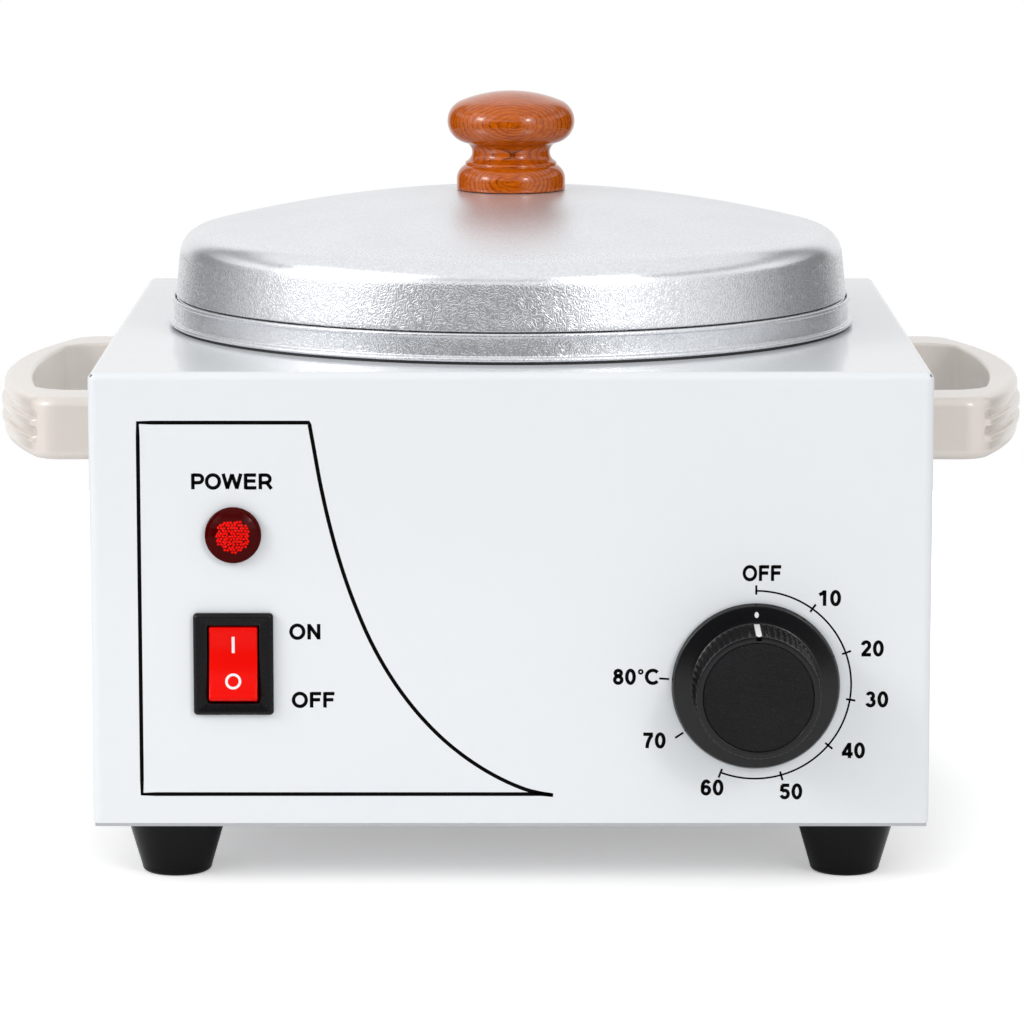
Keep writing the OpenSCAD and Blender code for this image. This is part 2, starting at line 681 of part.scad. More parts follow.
module heater_clamp_bolt() color("silver") translate([0, centre_y, top_z + heater_low + heater_h / 2])
    rotate([0, 0, gap_angle])
    translate([clamp_bolt_r, 0, 0]) {
        grip = tan(gap_half) * well_out_r + ear_plate_t;
        translate([0, grip, 0]) rotate([-90, 0, 0]) screw(2 * grip + nut_h + 1);
        translate([0, -grip, 0]) rotate([90, 0, 0]) nut(nut_h);
    }

module insulation_blanket() color("lightgray") translate([0, centre_y, 0]) difference() {
    translate([0, 0, top_z + heater_low - 10]) rotate([0, 0, gap_angle + 9])
        rotate_extrude(angle = 342) translate([heater_r + 0.1, 0]) square([blanket_t, heater_h + 18]);
    for (s = [-1, 1]) translate([0, -centre_y, 0])
        out_at(post_angle + s * post_step, -heater_drop - heater_h / 2)
        translate([0, 0, heater_r - over]) cylinder(r = post_r + 1, h = blanket_t + 2 * over);
}

// Spring plate that presses the sensor and the cut-out against the well's floor
module sensor_clip() color("silver") translate([0, centre_y, 0]) difference() {
    arm = [[sensor_x + 8, clip_top], [sensor_x - 8, clip_top], [12, floor_z]];
    low = [[11.6, floor_z - clip_t], [sensor_x - 8.4, clip_top - clip_t],
        [sensor_x + 8, clip_top - clip_t]];
    translate([0, clip_w / 2, 0]) rotate([90, 0, 0]) linear_extrude(clip_w)
        polygon(concat(arm, [for (i = [2 : -1 : 0]) [-arm[i][0], arm[i][1]]],
            [for (i = [2 : -1 : 0]) [-low[i][0], low[i][1]]], low));
    translate([0, 0, clip_top - over]) cylinder(r = rod_r + screw_room, h = floor_z - clip_top + 2 * over);
}

module temperature_sensor() color("orange") translate([sensor_x, centre_y + sensor_l / 2, sensor_z])
    rotate([90, 0, 0]) cylinder(r = sensor_r, h = sensor_l);

module capillary_tube() color("orange") translate([0, centre_y, 0]) lead([
    [dial_x - 10, stat_back, dial_z - stat_h / 2 + 4],
    [dial_x - 10, stat_back + 8, dial_z - stat_h / 2 + 4],
    [dial_x - 18, -half_d + 42, sensor_z - 1],
    [sensor_x + 12, -half_d + 62, sensor_z - 2],
    [sensor_x, -sensor_l / 2 - 10, sensor_z],
    [sensor_x, -sensor_l / 2, sensor_z]], r = 0.75);

module thermal_cutout() color("dimgray") translate([-sensor_x, centre_y, 0]) {
    translate([0, 0, clip_top + eps]) cylinder(r = cutout_r, h = floor_z - clip_top - 2 * eps);
    for (s = [-1, 1]) translate([-2.4, s * cutout_r - (s > 0 ? over : tab_l), tab_z])
        cube([blade_w, tab_l + over, blade_t]);
}

module wax_pot() color("silver") at_top() rotate_extrude() {
    translate([0, rim_top]) difference() {
        cup_half(pot_r, rim_top + pot_depth, pot_corner_r);
        translate([0, over]) cup_half(pot_r - pot_t, rim_top + pot_depth - pot_t + over,
            pot_corner_r - pot_t);
    }
    translate([pot_r - pot_t / 2, rim_low]) square([rim_r - pot_r, pot_t]);
    translate([rim_r - pot_t / 2, rim_low + pot_t / 2]) circle(pot_t / 2, $fn = round_fn);
}

module bail_ears() color("silver") for (s = [0, 1]) mirror([s, 0, 0]) at_top() difference() {
    intersection() {
        translate([0, 0, rim_top - ear_low]) rotate([0, 0, -10]) rotate_extrude(angle = 20)
            translate([ear_in_r, 0]) square([ear_t, ear_low + ear_top - rim_top]);
        translate([ear_in_r - 2 * over, 0, 0]) rotate([90, 0, 90]) linear_extrude(ear_t + 4 * over) {
            translate([0, ear_top - ear_w / 2]) circle(ear_w / 2);
            translate([-ear_w / 2, rim_top - ear_low])
                square([ear_w, ear_top - ear_w / 2 - rim_top + ear_low]);
        }
    }
    translate([ear_in_r - 2 * over, 0, bail_z]) rotate([0, 90, 0])
        cylinder(r = wire_r + 0.1, h = ear_t + 4 * over);
}

// Wire bail: a half ring whose ends turn in through the ears and are peened over
module bail_handle() color("lightgray") translate([0, centre_y, top_z + bail_z]) {
    rotate([0, 0, bail_start]) rotate_extrude(angle = 180 - 2 * bail_start) translate([bail_r, 0])
        circle(wire_r, $fn = round_fn);
    for (s = [0, 1]) mirror([s, 0, 0]) {
        translate([bail_elbow_x, bail_bend_r, 0]) rotate([0, 0, -90 - bend_more])
            rotate_extrude(angle = 90 + bail_start + 2 * bend_more)
            translate([bail_bend_r, 0]) circle(wire_r + 0.05, $fn = round_fn);
        translate([ear_in_r - 0.4 - peen_t, 0, 0]) rotate([0, 90, 0]) {
            cylinder(r = wire_r, h = bail_elbow_x - ear_in_r + 0.4 + peen_t);
            cylinder(r = peen_r, h = peen_t);
        }
    }
}

// Region under the lid's outer surface, drawn in by the distance t
module lid_half(t) {
    low = [lid_r, lid_low] + (t + touch) * skirt_in;
    dome_dir = unit(shoulder_c - [0, dome_c]);
    polygon([[0, lid_low - 10], low - 20 * skirt_dir, low + shoulder_s * skirt_dir, shoulder_c,
        [0, shoulder_c[1]]]);
    translate(shoulder_c) circle(shoulder_r - t);
    intersection() {
        translate([0, dome_c]) circle(dome_r - t, $fn = 720);
        polygon([[0, shoulder_c[1]], shoulder_c, shoulder_c + 40 * dome_dir, [0, lid_top_h + 5]]);
    }
}

module lid() color("silver") at_top() difference() {
    rotate_extrude() difference() {
        lid_half(0);
        lid_half(lid_t);
        translate([-over, lid_low - 30]) square([lid_r + 30, 30]);
    }
    translate([0, 0, lid_top_h - 10]) cylinder(r = knob_screw_r + screw_room, h = 20);
}

module knob_washer() color("dimgray") at_top() translate([0, 0, lid_top_h + eps])
    ring(knob_recess_r - 0.5, knob_screw_r + screw_room, knob_seat + knob_recess - lid_top_h - 2 * eps);

module lid_knob() color("chocolate") at_top() translate([0, 0, knob_seat]) difference() {
    rotate_extrude() {
        difference() {
            polygon([[0, 1], [bead_x, 1], bead_c, neck_c, neck_top, [0, neck_top[1]]]);
            translate(neck_c) circle(neck_arc);
        }
        translate(bead_c) circle(bead_r);
        square([knob_base_r, base_side_h]);
        square([knob_base_r - base_round_r, base_side_h + base_round_r]);
        intersection() {
            translate([knob_base_r - base_round_r, base_side_h]) circle(base_round_r);
            translate([0, base_side_h - touch]) square(2 * base_round_r + knob_base_r);
        }
        translate(cap_c) circle(cap_edge_r);
        polygon([[0, neck_top[1] - 1], [neck_top[0] - 2, neck_top[1] - 1], neck_top + [-0.3, 0.3], cap_c,
            [0, cap_c[1]]]);
        intersection() {
            translate([0, knob_h - cap_dome_r]) circle(cap_dome_r, $fn = 180);
            polygon([[0, cap_c[1] - 1], cap_c - [0, 1], cap_c, cap_c + 8 * cap_dir, [0, knob_h + 3]]);
        }
    }
    translate([0, 0, -over]) {
        cylinder(r = knob_recess_r, h = knob_recess + over);
        cylinder(r = knob_screw_r + eps, h = knob_bore_l + over);
    }
}

module knob_screw() color("silver") at_top() {
    washer_r = 3 * knob_screw_r;
    washer_top = dome_c + sqrt(pow(dome_r - lid_t, 2) - pow(washer_r, 2)) - eps;
    translate([0, 0, washer_top - 1]) ring(washer_r, knob_screw_r + eps, 1);
    translate([0, 0, washer_top - 1 - eps]) mirror([0, 0, 1])
        screw(knob_bore_l + 1, knob_screw_r, knob_screw_r * 1.9, knob_screw_r * 1.2);
}

module switch_frame() color("black") on_front(switch_x, switch_z) difference() {
    union() {
        hull() {
            translate([-bezel_w / 2, -bezel_h / 2, 0]) cube([bezel_w, bezel_h, bezel_t - 0.9]);
            translate([-bezel_w / 2 + 0.9, -bezel_h / 2 + 0.9, 0])
                cube([bezel_w - 1.8, bezel_h - 1.8, bezel_t]);
        }
        translate([-cutout_w / 2 + 0.1, -cutout_h / 2 + 0.1, -switch_depth])
            cube([cutout_w - 0.2, cutout_h - 0.2, switch_depth + over / 2]);
        for (s = [0, 1]) mirror([s, 0, 0]) translate([cutout_w / 2 - 0.6, 3, -sheet_t - 0.1])
            rotate([90, 0, 0]) linear_extrude(6)
            polygon([[0, 0], [1.6, 0], [0, -7]]);
    }
    translate([-aperture_w / 2, -aperture_h / 2, pin_out - cavity_d]) cube([aperture_w, aperture_h, 20]);
    translate([-aperture_w / 2 + 3, -slot_half, pin_out - finger_l - rocker_gap - 1])
        cube([aperture_w - 6, 2 * slot_half, 20]);
    translate([-aperture_w / 2 - pin_l, 0, pin_out]) rotate([0, 90, 0])
        cylinder(r = pin_r + running_gap, h = aperture_w + 2 * pin_l);
}

// Rocker: a concave face between round ends, on two pins, with its finger behind
module rocker() color("red") translate([switch_x, centre_y + pin_y, switch_z])
    rotate([-rocker_tilt, 0, 0]) {
    translate([rocker_w / 2, 0, 0]) rotate([90, 0, -90]) linear_extrude(rocker_w) {
        difference() {
            circle(rocker_r);
            translate([rocker_face + rocker_face_r, 0]) circle(rocker_face_r, $fn = 360);
            translate([-30 - rocker_back, -15]) square([30, 30]);
        }
    }
    translate([-rocker_w / 2 + 3.5, 0, -finger_half]) cube([rocker_w - 7, finger_l, 2 * finger_half]);
    translate([-rocker_w / 2 - pin_l, 0, 0]) rotate([0, 90, 0])
        cylinder(r = pin_r, h = rocker_w + 2 * pin_l, $fn = 64);
}

module switch_terminals() color("gold") for (i = [-1, 1]) for (j = [-1, 1])
    translate([switch_x + i * blade_x - blade_t / 2, centre_y + switch_back,
        switch_z + j * blade_z - blade_w / 2]) cube([blade_t, blade_l, blade_w]);

module pilot_lens() color("darkred") on_front(lamp_x, lamp_z) rotate_extrude() {
    difference() {
        union() {
            translate([0, collar_t]) square([lens_r, 1.2]);
            intersection() {
                translate([0, collar_t + lens_h - 2 * lens_r]) circle(2 * lens_r, $fn = 180);
                translate([0, collar_t]) square([lens_r - 0.8, lens_h]);
            }
            translate([0, -4]) square([barrel_r - barrel_t - 0.05, 4 + collar_t + 0.5]);
        }
        translate([-over, -4 - over])
            square([barrel_r - barrel_t - 1.1 + over, 4 + over + collar_t + lens_h - 1.6]);
    }
}

module pilot_barrel() color("black") on_front(lamp_x, lamp_z) difference() {
    union() {
        cylinder(r = lens_r - 0.3, h = collar_t - eps);
        translate([0, 0, -barrel_l]) cylinder(r = barrel_r, h = barrel_l + eps);
    }
    translate([0, 0, -barrel_l + barrel_floor]) cylinder(r = barrel_r - barrel_t, h = barrel_l + over);
    for (s = [-1, 1]) translate([s * 2.6, 0, -barrel_l - over])
        cylinder(r = 0.5, h = barrel_floor + 2 * over);
}

module pilot_bulb() color("orange") on_front(lamp_x, lamp_z) translate([0, 0, -barrel_l + barrel_floor]) {
    cylinder(r = bulb_r, h = bulb_l);
    translate([0, 0, bulb_l]) sphere(bulb_r);
}

module pilot_clip() color("silver") on_front(lamp_x, lamp_z) translate([0, 0, -sheet_t - 1])
    ring(barrel_r + 2.6, barrel_r + eps, 1);

module thermostat_bracket() color("silver") on_front(dial_x, dial_z) translate([0, 0, -sheet_t - bracket_t])
    difference() {
    translate([-stat_w / 2, -bracket_h / 2, 0]) cube([stat_w, bracket_h, bracket_t]);
    translate([0, 0, -over]) cylinder(r = boss_r + 0.1, h = 4);
    for (s = [-1, 1]) translate([s * stat_screw_x, 0, -over]) cylinder(r = screw_r + eps, h = 4);
}

module thermostat_body() color("whitesmoke") on_front(dial_x, dial_z) difference() {
    union() {
        translate([-stat_w / 2, -stat_h / 2, front_in - stat_back - sheet_t])
            cube([stat_w, stat_h, stat_d]);
        translate([0, 0, -sheet_t - bracket_t - over])
            cylinder(r = boss_r, h = sheet_t + bracket_t + over + 1.5);
        for (s = [-1, 1])
            translate([s * stat_tab_x - blade_w / 2, stat_tab_up, front_in - stat_back - sheet_t - tab_l])
            cube([blade_w, blade_t, tab_l + over]);
    }
    translate([0, 0, -sheet_t - bracket_t - shaft_in])
        cylinder(r = shaft_r + running_gap, h = shaft_in + sheet_t + bracket_t + 4);
    for (s = [-1, 1]) translate([s * stat_screw_x, 0, -sheet_t - bracket_t - 3])
        cylinder(r = screw_r + screw_room, h = 3 + over);
}

module thermostat_screws() color("silver") on_front(dial_x, dial_z) for (s = [-1, 1])
    translate([s * stat_screw_x, 0, 0]) screw(sheet_t + bracket_t + 2, hr = 3.2, hh = 1.6);

module thermostat_shaft() color("silver") on_front(dial_x, dial_z) difference() {
    translate([0, 0, -sheet_t - bracket_t - shaft_in + 0.3])
        cylinder(r = shaft_r, h = shaft_in + sheet_t + bracket_t - 0.3 + shaft_out);
    translate([-10, shaft_r - flat_in, 3.6]) cube([20, 10, 40]);
}

// Outline of the fluted grip
function fluted(r) = [for (i = [0 : 2 * flute_count - 1]) let (a = 180 * (i + 0.5) / flute_count,
    q = i % 2 == 0 ? r : r - flute_d) q * [sin(a), cos(a)]];

module dial_knob() color("black") on_front(dial_x, dial_z) difference() {
    union() {
        rotate_extrude()
            polygon([[0, skirt_back], [dial_skirt_r - 0.4, skirt_back], [dial_skirt_r, skirt_back + 0.6],
            [dial_skirt_r - 0.6, dial_skirt_out], [grip_r - flute_d - 0.6, dial_skirt_out + 0.8],
                [0, dial_skirt_out + 0.8]]);
        intersection() {
            translate([0, 0, dial_skirt_out]) linear_extrude(dial_reach - dial_skirt_out)
                polygon(fluted(grip_r));
            rotate_extrude()
                polygon([[0, dial_skirt_out - over], [grip_r + 0.1, dial_skirt_out - over],
                [grip_front_r + 0.05, dial_reach - 0.7],
                [grip_front_r - 0.6, dial_reach], [0, dial_reach]]);
        }
    }
    ring(grip_front_r - dial_t, hub_r, dial_reach - front_wall);
    cylinder(r = hub_r + 0.5, h = hub_z);
    difference() {
        cylinder(r = shaft_r + 0.03, h = shaft_out + 0.5);
        translate([-10, shaft_r - flat_in + 0.03, hub_z + 0.8]) cube([20, 10, 40]);
    }
    translate([0, 0, dial_reach - insert_t]) cylinder(r = insert_r + 0.1, h = insert_t + over);
    translate([-0.8, grip_front_r - 1.4, dial_skirt_out + 1.4]) cube([1.6, 3, dial_reach]);
}

module dial_insert() color("dimgray") on_front(dial_x, dial_z)
    translate([0, 0, dial_reach - insert_t + eps]) cylinder(r = insert_r, h = insert_t - 0.3);

module dial_pointer() color("white") on_front(dial_x, dial_z) {
    intersection() {
        translate([-0.75, grip_front_r - 1.38, dial_skirt_out + 1.5])
            cube([1.5, 3, dial_reach - dial_skirt_out - 1.5]);
        rotate_extrude()
            polygon([[0, 0], [grip_r + 0.15, dial_skirt_out], [grip_front_r + 0.1, dial_reach - 0.6],
            [grip_front_r - 0.5, dial_reach], [0, dial_reach]]);
    }
}

module terminal_block() color("ivory") at_box() difference() {
    translate([block_x - block_w / 2, block_y, plate_top]) cube([block_w, block_d, block_h]);
    for (i = [-1, 0, 1]) translate([block_x + i * clamp_pitch, block_y - over, clamp_z]) rotate([-90, 0, 0])
        cylinder(r = clamp_r + eps, h = block_d + 2 * over);
    for (s = [-1, 1]) translate([block_x + s * clamp_pitch / 2, block_y + block_d / 2, plate_top - over]) {
        cylinder(r = 1.5 + screw_room, h = block_h + 2 * over);
        translate([0, 0, block_h - 3 + over]) cylinder(r = 3, h = 4 + over);
    }
}

module terminal_clamps() color("gold") at_box() for (i = [-1, 0, 1])
    translate([block_x + i * clamp_pitch, block_y, clamp_z]) rotate([-90, 0, 0]) difference() {
    cylinder(r = clamp_r, h = block_d);
    translate([0, 0, 8]) cylinder(r = 1.2, h = block_d);
}

module terminal_screws() color("silver") at_box() for (s = [-1, 1])
    translate([block_x + s * clamp_pitch / 2, block_y + block_d / 2, plate_top + block_h - 3])
        screw(block_h - 3 + plate_t + 2, 1.5, 2.8, 1.8);

module earth_stud() color("gold") at_box() translate([earth_x, earth_y, 0]) {
    translate([0, 0, foot_h]) mirror([0, 0, 1]) screw(plate_t + lug_t + nut_h + 2);
    translate([0, 0, plate_top + lug_t + eps]) nut(nut_h);
    difference() {
        translate([-lug_l, -4, plate_top]) cube([lug_l + 4, 8, lug_t]);
        translate([0, 0, plate_top - over]) cylinder(r = screw_r + eps, h = lug_t + 2 * over);
    }
}

// Gland: a bush that snaps into the rear panel and guides a mains cord out
module cord_gland() color("black") translate([gland_x, centre_y + half_d, gland_z]) rotate([-90, 0, 0])
    rotate_extrude()
    polygon([[gland_bore_r, gland_reach], [gland_bore_r + 1.6, gland_reach], [gland_bore_r + 2.6, 3],
        [gland_neck_r + 1.7, 2.6],
        [gland_neck_r + 2.7, 1.6], [gland_neck_r + 2.7, 0], [gland_neck_r, 0],
            [gland_neck_r, -sheet_t - 0.1],
        [gland_neck_r + 0.9, -sheet_t - 0.1], [gland_neck_r, -sheet_t - 5], [gland_bore_r, -sheet_t - 5]]);

// Places where the leads end
function blade(i, j) = [switch_x + i * blade_x, blade_end, switch_z + j * blade_z];
function clamp_at(i) = [block_x + i * clamp_pitch, block_y, clamp_z];
function stat_tab(s) = [dial_x + s * stat_tab_x, stat_back + tab_l, dial_z + stat_tab_up + blade_t / 2];
function cutout_tab(s) = [-sensor_x, s * (cutout_r + tab_l), tab_z + blade_t / 2];
function post(s, r) = [r * cos(post_angle + s * post_step), r * sin(post_angle + s * post_step),
    top_z - heater_drop - heater_h / 2];
riser_r = post_end + 6;

module live_wires() color("brown") at_box() {
    // From the mains to the switch
    lead([clamp_at(-1), clamp_at(-1) + [0, -8, 0], [18, block_y - 20, lane_low], [-22, 26, lane_low - 1],
        [-50, -4, lane_low - 1],
        [-62, -28, lane_low], [switch_x + 2, -half_d + 62, lane_low + 5], blade(-1, -1) + [-1, 16, -12],
            blade(-1, -1) + [0, 7, 0], blade(-1, -1)]);
    // From the switch to the thermostat
    lead([blade(-1, 1), blade(-1, 1) + [0, 7, 0], blade(-1, 1) + [-12, 10, -12],
        blade(-1, 1) + [-14, 5, -32],
        [switch_x, -half_d + 23, lane_low + 3], [0, -half_d + 22, lane_low + 2],
            [dial_x - 28, -half_d + 26, lane_low + 5],
        stat_tab(-1) + [-8, 11, -16], stat_tab(-1) + [0, 7, 0], stat_tab(-1)]);
    // From the thermostat to the cut-out
    lead([stat_tab(1), stat_tab(1) + [0, 7, 0], stat_tab(1) + [-2, 18, -16],
        [dial_x - 34, -half_d + 64, lane_high],
        [-8, -36, lane_high], cutout_tab(-1) + [0, -14, -1], cutout_tab(-1) + [0, -5, 0], cutout_tab(-1)]);
    // From the cut-out to the heater
    lead([cutout_tab(1), cutout_tab(1) + [0, 6, 0], [-sensor_x + 10, 36, lane_round],
        [block_x - block_w / 2 - 9, block_y - 18, lane_round],
            [block_x + block_w / 2 - 3, block_y - 11, lane_round],
        [block_x + block_w / 2 + 7, block_y + 5, lane_round + 2], post(1, riser_r) + [0, 0, -40],
        post(1, riser_r) + [0, 0, -16], post(1, riser_r - 1), post(1, post_end)]);
    // From the lamp to the switch
    lead([[lamp_x - 2.6, lamp_back, lamp_z], [lamp_x - 2.6, lamp_back + 6, lamp_z],
        blade(-1, 1) + [-4, -2, 16],
        blade(-1, 1) + [-4, -4, 6], blade(-1, 1) + [-blade_t / 2 - 2.4, -4, 0],
            blade(-1, 1) + [-blade_t / 2, -4, 0]], r = 0.6);
}

module neutral_wires() color("royalblue") at_box() {
    // From the mains to the switch
    lead([clamp_at(0), clamp_at(0) + [0, -12, 0], [26, block_y - 31, lane_low], [-10, 17, lane_low - 1],
        [-36, -10, lane_low - 1],
        [-50, -32, lane_low], [switch_x + 14, -half_d + 62, lane_low + 3], blade(1, -1) + [1, 16, -14],
            blade(1, -1) + [0, 7, 0], blade(1, -1)]);
    // From the switch to the heater
    lead([blade(1, 1), blade(1, 1) + [0, 8, 0], blade(1, 1) + [12, 14, -14],
        [switch_x + 32, -half_d + 43, lane_low + 9],
        [-20, -half_d + 45, lane_low + 1], [22, -half_d + 49, lane_low], [60, -34, lane_low + 1],
            [half_w - 31, 0, lane_low + 3],
        [half_w - 20, 36, lane_low + 14], post(-1, riser_r) + [6, -8, -44], post(-1, riser_r) + [0, 0, -16],
        post(-1, riser_r - 1), post(-1, post_end)]);
    // From the lamp to the switch
    lead([[lamp_x + 2.6, lamp_back, lamp_z], [lamp_x + 2.6, lamp_back + 6, lamp_z],
        blade(1, 1) + [4, -2, 16],
        blade(1, 1) + [4, -4, 6], blade(1, 1) + [blade_t / 2 + 2.4, -4, 0],
            blade(1, 1) + [blade_t / 2, -4, 0]], r = 0.6);
}

module earth_wire() color("green") at_box() {
    on_lug = [earth_x, earth_y, plate_top + lug_t + lead_r];
    lead([clamp_at(1), clamp_at(1) + [0, -7, 0], clamp_at(1) + [3, -12, -3], on_lug + [-lug_l - 3, 0, 1],
        on_lug + [-lug_l + 1, 0, 0],
        on_lug + [-6, 0, 0]]);
}

housing_shell();
base_plate();
foot_front_left();
foot_front_right();
foot_rear_left();
foot_rear_right();
foot_screws();
foot_nuts();
handle_left();
handle_right();
handle_screws();
rim_seal();
heating_well();
well_pillar();
tie_rod();
tie_nut();
heater_band();
heater_clamp_bolt();
insulation_blanket();
sensor_clip();
temperature_sensor();
capillary_tube();
thermal_cutout();
wax_pot();
bail_ears();
bail_handle();
lid();
knob_washer();
lid_knob();
knob_screw();
switch_frame();
rocker();
switch_terminals();
pilot_lens();
pilot_barrel();
pilot_bulb();
pilot_clip();
thermostat_body();
thermostat_bracket();
thermostat_screws();
thermostat_shaft();
dial_knob();
dial_insert();
dial_pointer();
terminal_block();
terminal_clamps();
terminal_screws();
earth_stud();
cord_gland();
live_wires();
neutral_wires();
earth_wire();
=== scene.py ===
# %% [markdown]
# # A wax warmer: looks built round a fixed CAD frame
#
# The frame holds every part of the warmer in metres, with the table at z = 0 and
# the front panel towards -Y. This script keeps the frame as it is, replaces the
# parts that are seen with finer surfaces, and gives everything a finish made of
# nodes. Each surface is a function of two parameters, sampled on a grid.

# %% Load the frame
import math

import bpy
import numpy as np
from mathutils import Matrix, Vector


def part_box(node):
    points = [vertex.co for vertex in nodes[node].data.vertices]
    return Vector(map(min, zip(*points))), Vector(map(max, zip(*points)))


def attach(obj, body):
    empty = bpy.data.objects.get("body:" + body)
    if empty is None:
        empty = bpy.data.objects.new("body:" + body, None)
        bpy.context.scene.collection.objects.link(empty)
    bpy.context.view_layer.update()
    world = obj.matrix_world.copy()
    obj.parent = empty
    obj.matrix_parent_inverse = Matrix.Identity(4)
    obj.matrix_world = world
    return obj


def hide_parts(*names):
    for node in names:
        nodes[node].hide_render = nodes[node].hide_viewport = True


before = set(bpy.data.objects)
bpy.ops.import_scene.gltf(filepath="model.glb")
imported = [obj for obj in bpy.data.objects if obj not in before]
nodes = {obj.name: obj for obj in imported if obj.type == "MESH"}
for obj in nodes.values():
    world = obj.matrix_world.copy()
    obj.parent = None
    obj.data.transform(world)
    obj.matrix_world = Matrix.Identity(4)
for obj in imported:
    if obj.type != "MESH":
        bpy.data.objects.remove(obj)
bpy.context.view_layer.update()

# %% [markdown]
# The places of the visible parts come from the boxes of their CAD nodes, in
# millimetres, because most of the sizes below are easier to read that way.

# %% Where things are
def box_mm(name):
    """Lowest and highest corner of a CAD node, in millimetres."""
    return tuple(np.array(corner) * 1000 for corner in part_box(name))

def centre_of(name):
    """Middle of a node's box as seen from the front, x and z."""
    low, high = box_mm(name)
    return (low[0] + high[0]) / 2, (low[2] + high[2]) / 2

house_low, house_high = box_mm("housing_shell")
top_z, front_y = house_high[2], house_low[1]
mid_y = (house_low[1] + house_high[1]) / 2
print("top plane", round(top_z, 2), "front panel", round(front_y, 2), "middle", round(mid_y, 2))

# %% [markdown]
# One helper turns a grid of points into a closed mesh. Row i of the grid is a ring.
# The rings are joined one after the other, and the first and last ring shrink to a
# single point each, or meet each other when the surface is a torus. The signed
# volume tells whether the faces look outward.

# %% Skin over a grid of rings
def placed(name, data):
    """An object with that data in the scene."""
    made = bpy.data.objects.new(name, data)
    bpy.context.scene.collection.objects.link(made)
    return made

def mesh_piece(name, points, faces):
    """A mesh object from points in millimetres."""
    mesh = bpy.data.meshes.new(name)
    mesh.from_pydata((points / 1000).tolist(), [], faces)
    return placed(name, mesh)

def skin(name, rows, torus=False):
    """Mesh whose face (i, j) joins rows[i, j], rows[i, j+1], rows[i+1, j+1], rows[i+1, j]."""
    rings = rows if torus else rows[1:-1]
    count, around = rings.shape[:2]
    points = rings.reshape(-1, 3)
    at = np.arange(count * around).reshape(count, around)
    side = np.roll(at, -1, axis=1)
    if torus:
        quads = np.stack([at, side, np.roll(side, -1, 0), np.roll(at, -1, 0)], -1)
    else:
        quads = np.stack([at[:-1], side[:-1], side[1:], at[1:]], -1)
    quads = quads.reshape(-1, 4)
    caps = np.empty((0, 3), int)
    if not torus:
        first, last = len(points), len(points) + 1
        points = np.vstack([points, rows[0, :1], rows[-1, :1]])
        caps = np.vstack([np.stack([np.full(around, first), side[0], at[0]], -1),
                          np.stack([np.full(around, last), at[-1], side[-1]], -1)])
    halves = np.vstack([quads[:, :3], quads[:, [0, 2, 3]], caps])
    a, b, c = (points[halves[:, k]] for k in range(3))
    if np.einsum("ij,ij->", a, np.cross(b, c)) < 0:
        quads, caps = quads[:, ::-1], caps[:, ::-1]
    piece = mesh_piece(name, points, quads.tolist() + caps.tolist())
    piece.data.shade_smooth()
    return piece

def capped(rows):
    """The rings with one more at either end, drawn together to its middle."""
    middle = rows.mean(1, keepdims=True).repeat(rows.shape[1], 1)
    return np.concatenate([middle[:1], rows, middle[-1:]])

# %% [markdown]
# Outlines are drawn as points in a plane. Sharp corners never occur on a real
# pressed or moulded part, so every corner gets a small arc, and long straight
# stretches are cut into short steps to keep the shading even.

# %% Outlines with rounded corners
def arc(centre, radius, start, end, steps=12):
    """Points centre + radius (cos t, sin t), t from start to end in degrees."""
    t = np.radians(np.linspace(start, end, steps + 1))[:, None]
    return np.array(centre) + radius * np.hstack([np.cos(t), np.sin(t)])

def rounded(corners, radii, closed=False, steps=6):
    """Each corner P becomes an arc that leaves its sides at radius / tan(half the corner's angle) from P."""
    p = np.array(corners, float)
    before, after = np.roll(p, 1, 0) - p, np.roll(p, -1, 0) - p
    u = before / np.linalg.norm(before, axis=1, keepdims=True)
    v = after / np.linalg.norm(after, axis=1, keepdims=True)
    half = np.arccos(np.clip((u * v).sum(1), -1, 1)) / 2
    r = np.maximum(np.array(radii, float), 0.02)
    mid = p + (u + v) / np.linalg.norm(u + v, axis=1, keepdims=True) * (r / np.sin(half))[:, None]
    start = p + u * (r / np.tan(half))[:, None] - mid
    end = p + v * (r / np.tan(half))[:, None] - mid
    turn = (np.pi - 2 * half)[:, None, None]
    s = np.linspace(0, 1, steps + 1)[None, :, None]
    swept = (np.sin((1 - s) * turn) * start[:, None] + np.sin(s * turn) * end[:, None]) / np.sin(turn)
    swept = mid[:, None] + swept
    if closed:
        return swept.reshape(-1, 2)
    return np.vstack([p[:1], swept[1:-1].reshape(-1, 2), p[-1:]])

def even(path, step, closed=False):
    """The same outline with extra points, so that no stretch is longer than step."""
    path = np.array(path, float)
    if closed:
        path = np.vstack([path, path[:1]])
    gaps = np.linalg.norm(np.diff(path, axis=0), axis=1)
    path = path[np.concatenate([[True], gaps > 1e-4])]
    s = np.concatenate([[0], np.cumsum(np.linalg.norm(np.diff(path, axis=0), axis=1))])
    parts = np.maximum(np.ceil(np.diff(s) / step), 1).astype(int)
    nth = np.arange(parts.sum()) - np.repeat(np.cumsum(parts) - parts, parts)
    extra = np.repeat(s[:-1], parts) + nth * np.repeat(np.diff(s) / parts, parts)
    if not closed:
        extra = np.append(extra, s[-1])
    return np.stack([np.interp(extra, s, path[:, k]) for k in range(2)], -1)

print("a 2 mm corner has", len(rounded([(0, 0), (5, 0), (5, 5)], [0, 2, 0])), "points")

# %% [markdown]
# Spun and turned parts are an outline carried round an axis. The axis stands up for
# the lid, pot and knob. It points out of the front panel for the dial and the lamp.

